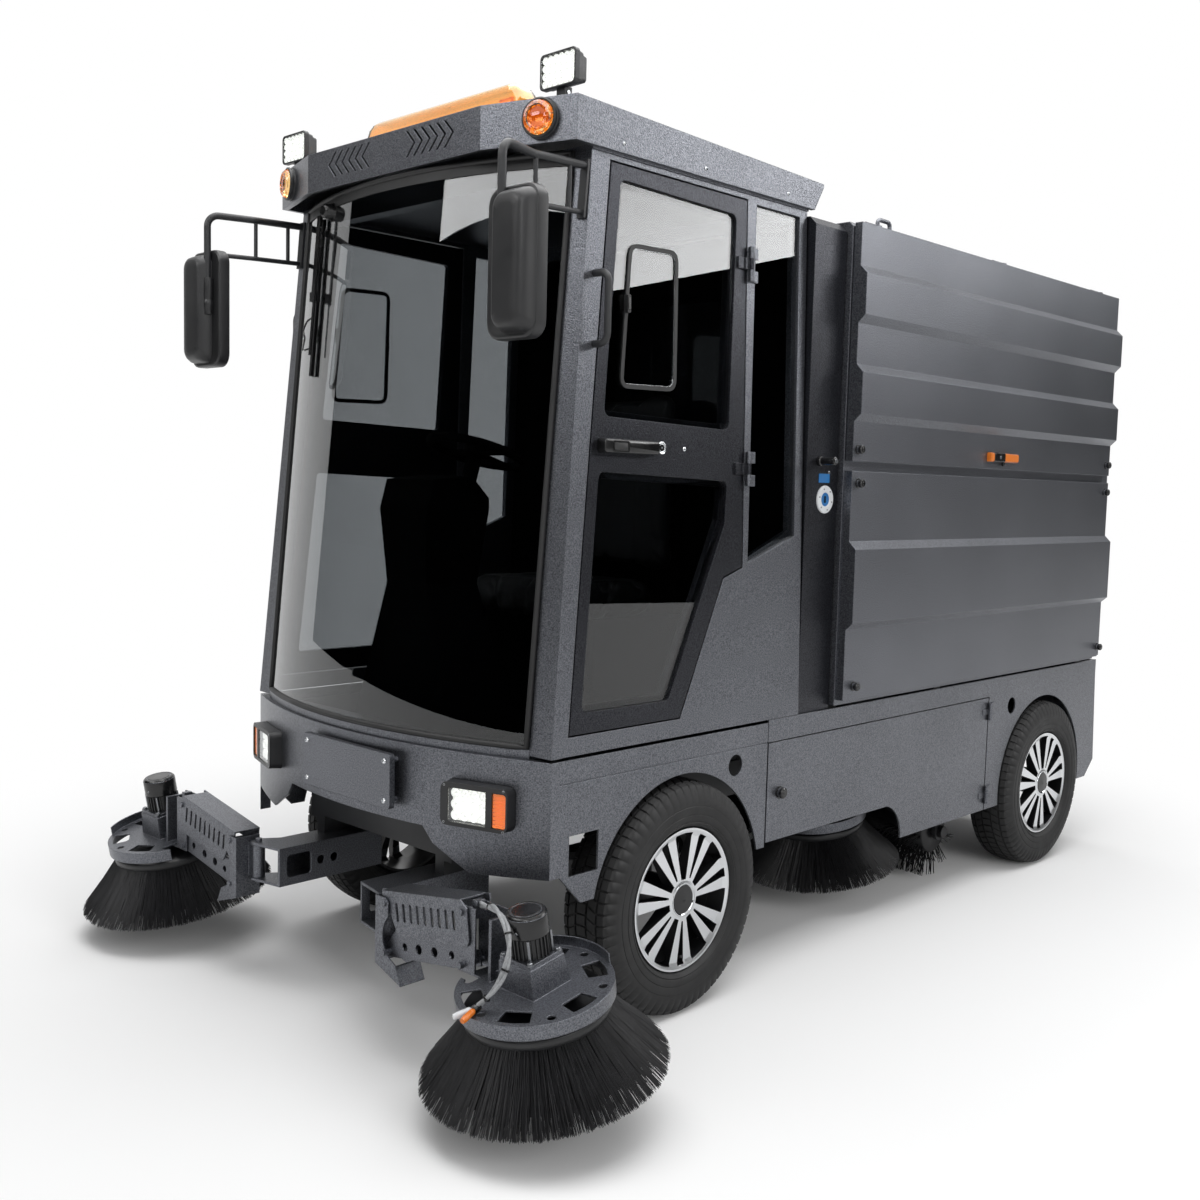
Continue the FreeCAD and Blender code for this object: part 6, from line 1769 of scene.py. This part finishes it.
@dataclass
class MotorLead:
    """The left motor's lead: two sleeved wires, ties and two plugs, over its CAD route.

    The route is in millimetres from the foot of the brush's joint.
    """

    route: tuple[Point, ...] = (
        (-141, -55, 309), (-112, -60, 313), (-78, -78, 323), (-40, -94, 325), (-5, -106, 309), (15, -116, 274),
        (19, -129, 236), (9, -146, 199), (-15, -168, 163))
    radius: float = 0.0041
    ties: tuple[int, ...] = (9, 26, 36, 45)
    wind: float = 0.22
    wind_radius: float = 0.0034

    def build(self) -> None:
        """Build the lead in its CAD solid's place."""
        joint = next(j for j in frame["joints"] if j["name"] == "spin_left_brush")
        place = Matrix.Translation(joint["pos_m"])
        line = rounded_path([tuple(c * MM for c in p) for p in self.route], 6)
        shell = Shell()
        for twist in (0.0, math.pi):
            self.strand(shell, line, twist, place)
        for number in self.ties:
            at, ahead = line[number], line[number + 1] - line[number - 1]
            ring = place @ Matrix.Translation(at) @ ahead.to_track_quat("Z", "Y").to_matrix().to_4x4()
            shell.lathe(mm((7.2, -2.2), (8.4, -1.5), (8.4, 1.5), (7.2, 2.2), (6, 0)), 20, ring, 3, True)
            shell.prism(rounded(0.003, 0.0022, 0.0008, 2, (0.0098, 0.0)), -0.002, 0.002, ring, 3)
        end = place @ spun(102, "X", line[-1])
        shell.lathe(mm((0, -6), (6.2, -6), (7.8, -4), (7.8, 9), (6, 12), (0, 12)), 20, end, 3)
        for turn, mark in ((15, 1), (-15, 2)):
            shell.lathe(mm((0, 5), (3.5, 6), (3.8, 14), (6.2, 16), (6.6, 22), (5.8, 24), (6.6, 26), (6.6, 46),
                           (5.2, 51.5), (0, 52)), 18, end @ spun(turn, "Y"), mark)
        shell.piece("left_motor_lead", "left_brush_head", "black_plastic",
                    [SLEEVE, ORANGE, WHITE_NYLON, GLOSS_BLACK], angle=50, stands_for=["left_motor_cable"])

    def strand(self, shell: Shell, line: Sequence[Vector], twist: float, place: Matrix) -> None:
        """Add one of the two sleeved wires that wind round each other.

        Args:
            shell: Gathers the wire.
            line: The lead's centre line.
            twist: Where it starts around the line.
            place: Where the lead goes.
        """
        path = []
        side = Vector((0, 0, 1))
        for number, point in enumerate(line):
            along = (line[min(number + 1, len(line) - 1)] - line[max(number - 1, 0)]).normalized()
            side = (side - along * side.dot(along)).normalized()
            angle = twist + number * self.wind
            offset = side * math.cos(angle) + along.cross(side) * math.sin(angle)
            path.append(point + offset * self.wind_radius)
        shell.tube(path, self.radius, 12, 0, False, place)


def build_heads() -> None:
    """Build both brush motors and the lead."""
    for side in Side:
        BrushMotor(side).build()
    MotorLead().build()


# ---- CAD finishes ----


def dress(node: str, finish: Finish) -> None:
    """Give all slots of a CAD node one finish.

    Args:
        node: The node's name.
        finish: The finish.
    """
    for slot in frame["nodes"][node].material_slots:
        slot.material = finish.material()
    LOG.info("node %s takes %s", node, finish.name)


PANEL_NODES = (
    "front_bumper", "lower_body", "left_service_door", "right_service_door", "cab_frame", "roof_cap", "hopper_box",
    "left_hatch", "right_hatch", "lower_panels", "rear_door", "brush_arms", "left_brush_bracket",
    "right_brush_bracket", "left_upper_link", "right_upper_link", "left_lower_link", "right_lower_link",
    "left_brush_head", "right_brush_head", "mid_brush_heads")
FRAME_NODES = ("chassis_frame", "front_axle", "rear_axle", "left_knuckle", "right_knuckle", "battery_pack",
               "mirror_arms", "grab_handles")
# The finish of every CAD node that stays in view, apart from the rims.
DRESS = (
    (POWDER, PANEL_NODES),
    (DARK_POWDER, ("left_door", "right_door", "service_bay")),
    (FRAME_PAINT, FRAME_NODES),
    (GLASS, ("windshield", "left_door_glass", "right_door_glass", "fixed_windows")),
    # The cab's inside takes the near-black finish that paints its shade.
    (INTERIOR_PAINTED_SHADE, ("console", "steering_wheel", "cab_tub", "seat_base")),
    (STEEL, ("tie_rod",)),
)


def dress_frame() -> None:
    """Give every CAD node that stays in view its finish."""
    for finish, nodes in DRESS:
        for node in nodes:
            dress(node, finish)


# ---- studio ----


def stage_mesh(name: str, points: Sequence[Point], faces: Sequence[tuple[int, ...]],
               finish: Finish) -> bpy.types.Object:
    """Make a mesh that belongs to the studio and not to the truck.

    Args:
        name: Its name.
        points: Its points.
        faces: Its faces.
        finish: Its finish.

    Returns:
        The new object.
    """
    mesh = bpy.data.meshes.new(name)
    mesh.from_pydata(points, [], faces)
    mesh.materials.append(finish.material())
    thing = bpy.data.objects.new(name, mesh)
    bpy.context.scene.collection.objects.link(thing)
    return thing


def stage_sheet(name: str, half_u: float, half_v: float, finish: Finish) -> bpy.types.Object:
    """Make a flat studio sheet about the origin.

    Args:
        name: Its name.
        half_u: Half its width.
        half_v: Half its height.
        finish: Its finish.

    Returns:
        The new object.
    """
    corners = [(u, v, 0) for u, v in rectangle((-half_u, -half_v), (half_u, half_v))]
    return stage_mesh(name, corners, [(0, 1, 2, 3)], finish)


def only_reflected(thing: bpy.types.Object) -> None:
    """Hide a studio object from all rays but those of gloss and glass."""
    for ray in ("camera", "diffuse", "shadow", "volume_scatter"):
        setattr(thing, "visible_" + ray, False)


def aimed(thing: bpy.types.Object, place: Point, aim: Point, front: str) -> None:
    """Set a studio object down and turn it towards a point.

    Args:
        thing: The object.
        place: Where it goes.
        aim: The point.
        front: Which of its axes looks at the point.
    """
    thing.location = place
    thing.rotation_euler = (Vector(aim) - Vector(place)).to_track_quat(front, "Y").to_euler()


@dataclass(frozen=True)
class SoftBox:
    """A rectangular studio light that looks at a point."""

    name: str
    place: Point
    aim: Point
    wide: float
    tall: float
    power: float

    def build(self) -> None:
        """Hang the light."""
        data = bpy.data.lights.new(self.name, "AREA")
        data.shape = "RECTANGLE"
        data.size, data.size_y, data.energy = self.wide, self.tall, self.power
        lamp = bpy.data.objects.new(self.name, data)
        aimed(lamp, self.place, self.aim, "-Z")
        bpy.context.scene.collection.objects.link(lamp)


@dataclass(frozen=True)
class DarkCloth:
    """A ring of black studio cloth round the truck that shows in gloss and glass alone.

    It is open where the windows are seen through, between two angles in degrees from the truck's left
    towards its rear.
    """

    radius: float = 18.0
    tall: float = 9.0
    steps: int = 72
    open_from: float = 95.0
    open_to: float = 200.0

    def build(self) -> None:
        """Hang the cloth."""
        count = self.steps
        turns = [math.tau * number / count for number in range(count)]
        points = [(self.radius * math.cos(a), self.radius * math.sin(a), z)
                  for z in (0.0, self.tall) for a in turns]
        faces = [(i, (i + 1) % count, count + (i + 1) % count, count + i) for i in range(count)
                 if not math.radians(self.open_from) <= turns[i] < math.radians(self.open_to)]
        only_reflected(stage_mesh("dark_cloth", points, faces, FLAG_CLOTH))


@dataclass(frozen=True)
class GlowCloth(Finish):
    """The front cloth of a softbox, brightest at its lower edge."""

    low: float = 5.0
    high: float = 1.5
    half: float = 1.0

    def surface(self, tree: Tree) -> Socket:
        """Build the cloth's glow, which falls off towards its top.

        Args:
            tree: The material's tree.

        Returns:
            The shader's output socket.
        """
        height = add_node(tree, "SeparateXYZ", {
            0: add_node(tree, "TexCoord").outputs["Object"]}).outputs["Y"]
        level = add_node(tree, "MapRange", {
            "Value": height, "From Min": -self.half, "From Max": self.half, "To Min": self.low,
            "To Max": self.high}, interpolation_type="SMOOTHSTEP")
        return add_node(tree, "Emission", {
            "Color": linear(self.colour), "Strength": level.outputs[0]}).outputs[0]


@dataclass(frozen=True)
class GlowPanel:
    """A softbox that shows in gloss alone: an upright cloth with a falling glow."""

    name: str
    place: Point
    aim: Point
    wide: float
    tall: float
    low: float
    high: float

    def build(self) -> None:
        """Stand the panel."""
        half = self.tall / 2
        cloth = GlowCloth(self.name + "_cloth", "#ffffff", "#ffffff", 0.5, low=self.low, high=self.high, half=half)
        panel = stage_sheet(self.name, self.wide / 2, half, cloth)
        aimed(panel, self.place, self.aim, "Z")
        only_reflected(panel)


@dataclass(frozen=True)
class FloorFinish(Finish):
    """Pale painted floor that fades to the white behind it."""

    clear_from: float = 1.7
    clear_to: float = 3.6

    def surface(self, tree: Tree) -> Socket:
        """Build the floor: matt paint near the truck, plain white further out.

        Args:
            tree: The material's tree.

        Returns:
            The shader's output socket.
        """
        paint = add_node(tree, "BsdfDiffuse", {"Color": linear(self.colour), "Roughness": 1.0})
        white = add_node(tree, "Emission", {"Color": (1, 1, 1, 1), "Strength": 1.0})
        away = add_node(tree, "VectorMath", {
            0: add_node(tree, "TexCoord").outputs["Object"]}, operation="LENGTH")
        share = add_node(tree, "MapRange", {
            "Value": away.outputs["Value"], "From Min": self.clear_from, "From Max": self.clear_to},
            interpolation_type="SMOOTHSTEP")
        seen = combined(tree, "MULTIPLY", share.outputs[0], background_rays(tree))
        return add_node(tree, "MixShader", {0: seen, 1: paint.outputs[0], 2: white.outputs[0]}).outputs[0]


def background_rays(tree: Tree) -> Socket:
    """Tell which rays show the background: camera, gloss and glass rays that nothing matt has scattered.

    Args:
        tree: The tree that takes the nodes.

    Returns:
        A socket that is 1 for those rays and 0 for all others.
    """
    path = add_node(tree, "LightPath").outputs
    clean = combined(tree, "LESS_THAN", path["Diffuse Depth"], 0.5)
    first = combined(tree, "MAXIMUM", path["Is Camera Ray"], path["Is Glossy Ray"])
    return combined(tree, "MULTIPLY", combined(tree, "MAXIMUM", first, path["Is Transmission Ray"]), clean)


# Matt black cloth of the studio flags.
FLAG_CLOTH = Finish("matt_black_flag_cloth", "#050505", "#070707", 0.95, grain=4, relief=0.2, specular=0.0)
# Matt white floor paint.
FLOOR_PAINT = FloorFinish("matt_white_floor_paint", "#f2f2f2", "#f2f2f2", 0.9)


@dataclass
class Studio:
    """Floor, background, lights, panels, black cloth and the view's tone."""

    floor_half: float = 24.0
    ambient: float = 0.45
    lights: tuple[SoftBox, ...] = (
        SoftBox("top_box", (0.3, 0.0, 5.6), (0.0, 0.0, 0.0), 6.0, 6.0, 400),
        SoftBox("left_fill", (6.0, -1.5, 2.6), (0.4, 0.0, 1.0), 3.0, 3.0, 60),
    )
    panels: tuple[GlowPanel, ...] = (
        GlowPanel("rear_left_panel", (5.4, 5.2, 4.5), (5.4, 0.0, 4.5), 4.4, 2.4, 7.6, 2.6),
        GlowPanel("hatch_panel", (3.7, 5.2, 4.1), (3.7, 0.0, 4.1), 1.1, 2.4, 9.0, 9.0),
        GlowPanel("front_panel", (-1.2, -6.0, 4.45), (-1.2, 0.0, 4.45), 4.2, 1.54, 6.5, 6.5),
        GlowPanel("front_left_panel", (4.6, -6.0, 4.2), (4.6, 0.0, 4.2), 3.4, 1.8, 6.0, 6.0),
    )
    cloth: DarkCloth = DarkCloth()

    def build(self) -> None:
        """Build the whole studio."""
        stage_sheet("floor", self.floor_half, self.floor_half, FLOOR_PAINT)
        for item in (*self.lights, *self.panels, self.cloth):
            item.build()
        self.background()
        bpy.context.scene.view_settings.view_transform = "Standard"

    def background(self) -> None:
        """Make the world white behind the truck and plain grey as light on it."""
        world = bpy.data.worlds.new("studio")
        bpy.context.scene.world = world
        world.use_nodes = True
        tree = world.node_tree
        tree.nodes.clear()
        level = add_node(tree, "MapRange", {"Value": background_rays(tree), "To Min": self.ambient,
                                                      "To Max": 1.0})
        behind = add_node(tree, "Background", {"Color": (1, 1, 1, 1), "Strength": level.outputs[0]})
        output = add_node(tree, "OutputWorld")
        tree.links.new(behind.outputs[0], output.inputs["Surface"])


@dataclass(frozen=True)
class Camera:
    """The camera: its place, its turns in degrees and its lens."""

    place: Point = (2.5558, -3.0940, 1.2802)
    yaw: float = 44.0606
    pitch: float = -5.0177
    roll: float = 1.4474
    lens: float = 38.53

    def build(self) -> None:
        """Set the camera up."""
        yaw, pitch, roll = (math.radians(a) for a in (self.yaw, self.pitch, self.roll))
        ahead = Vector((-math.sin(yaw) * math.cos(pitch), math.cos(yaw) * math.cos(pitch), math.sin(pitch)))
        right = ahead.cross(Vector((0, 0, 1))).normalized()
        up = right.cross(ahead)
        across = right * math.cos(roll) + up * math.sin(roll)
        above = up * math.cos(roll) - right * math.sin(roll)
        data = bpy.data.cameras.new("camera")
        data.lens, data.sensor_width = self.lens, 36.0
        camera = bpy.data.objects.new("camera", data)
        camera.matrix_world = Matrix((
            (across.x, above.x, -ahead.x, self.place[0]), (across.y, above.y, -ahead.y, self.place[1]),
            (across.z, above.z, -ahead.z, self.place[2]), (0, 0, 0, 1)))
        bpy.context.scene.collection.objects.link(camera)
        bpy.context.scene.camera = camera


# ---- the whole truck ----


def main() -> None:
    """Build the studio, dress the CAD nodes and add every fitted detail."""
    Camera().build()
    Studio().build()
    dress_frame()
    for side in Side:
        for end in ("front", "rear"):
            Tyre(side, end).build()
            WheelTrim(side, end).build()
        for kind in ("brush", "mid_brush"):
            DiscBrush(side, kind).build()
    RollerBrush().build()
    build_lamps()
    build_amber_lamps()
    build_mirrors()
    build_cab()
    build_body()
    build_heads()


if __name__ == "__main__":
    main()
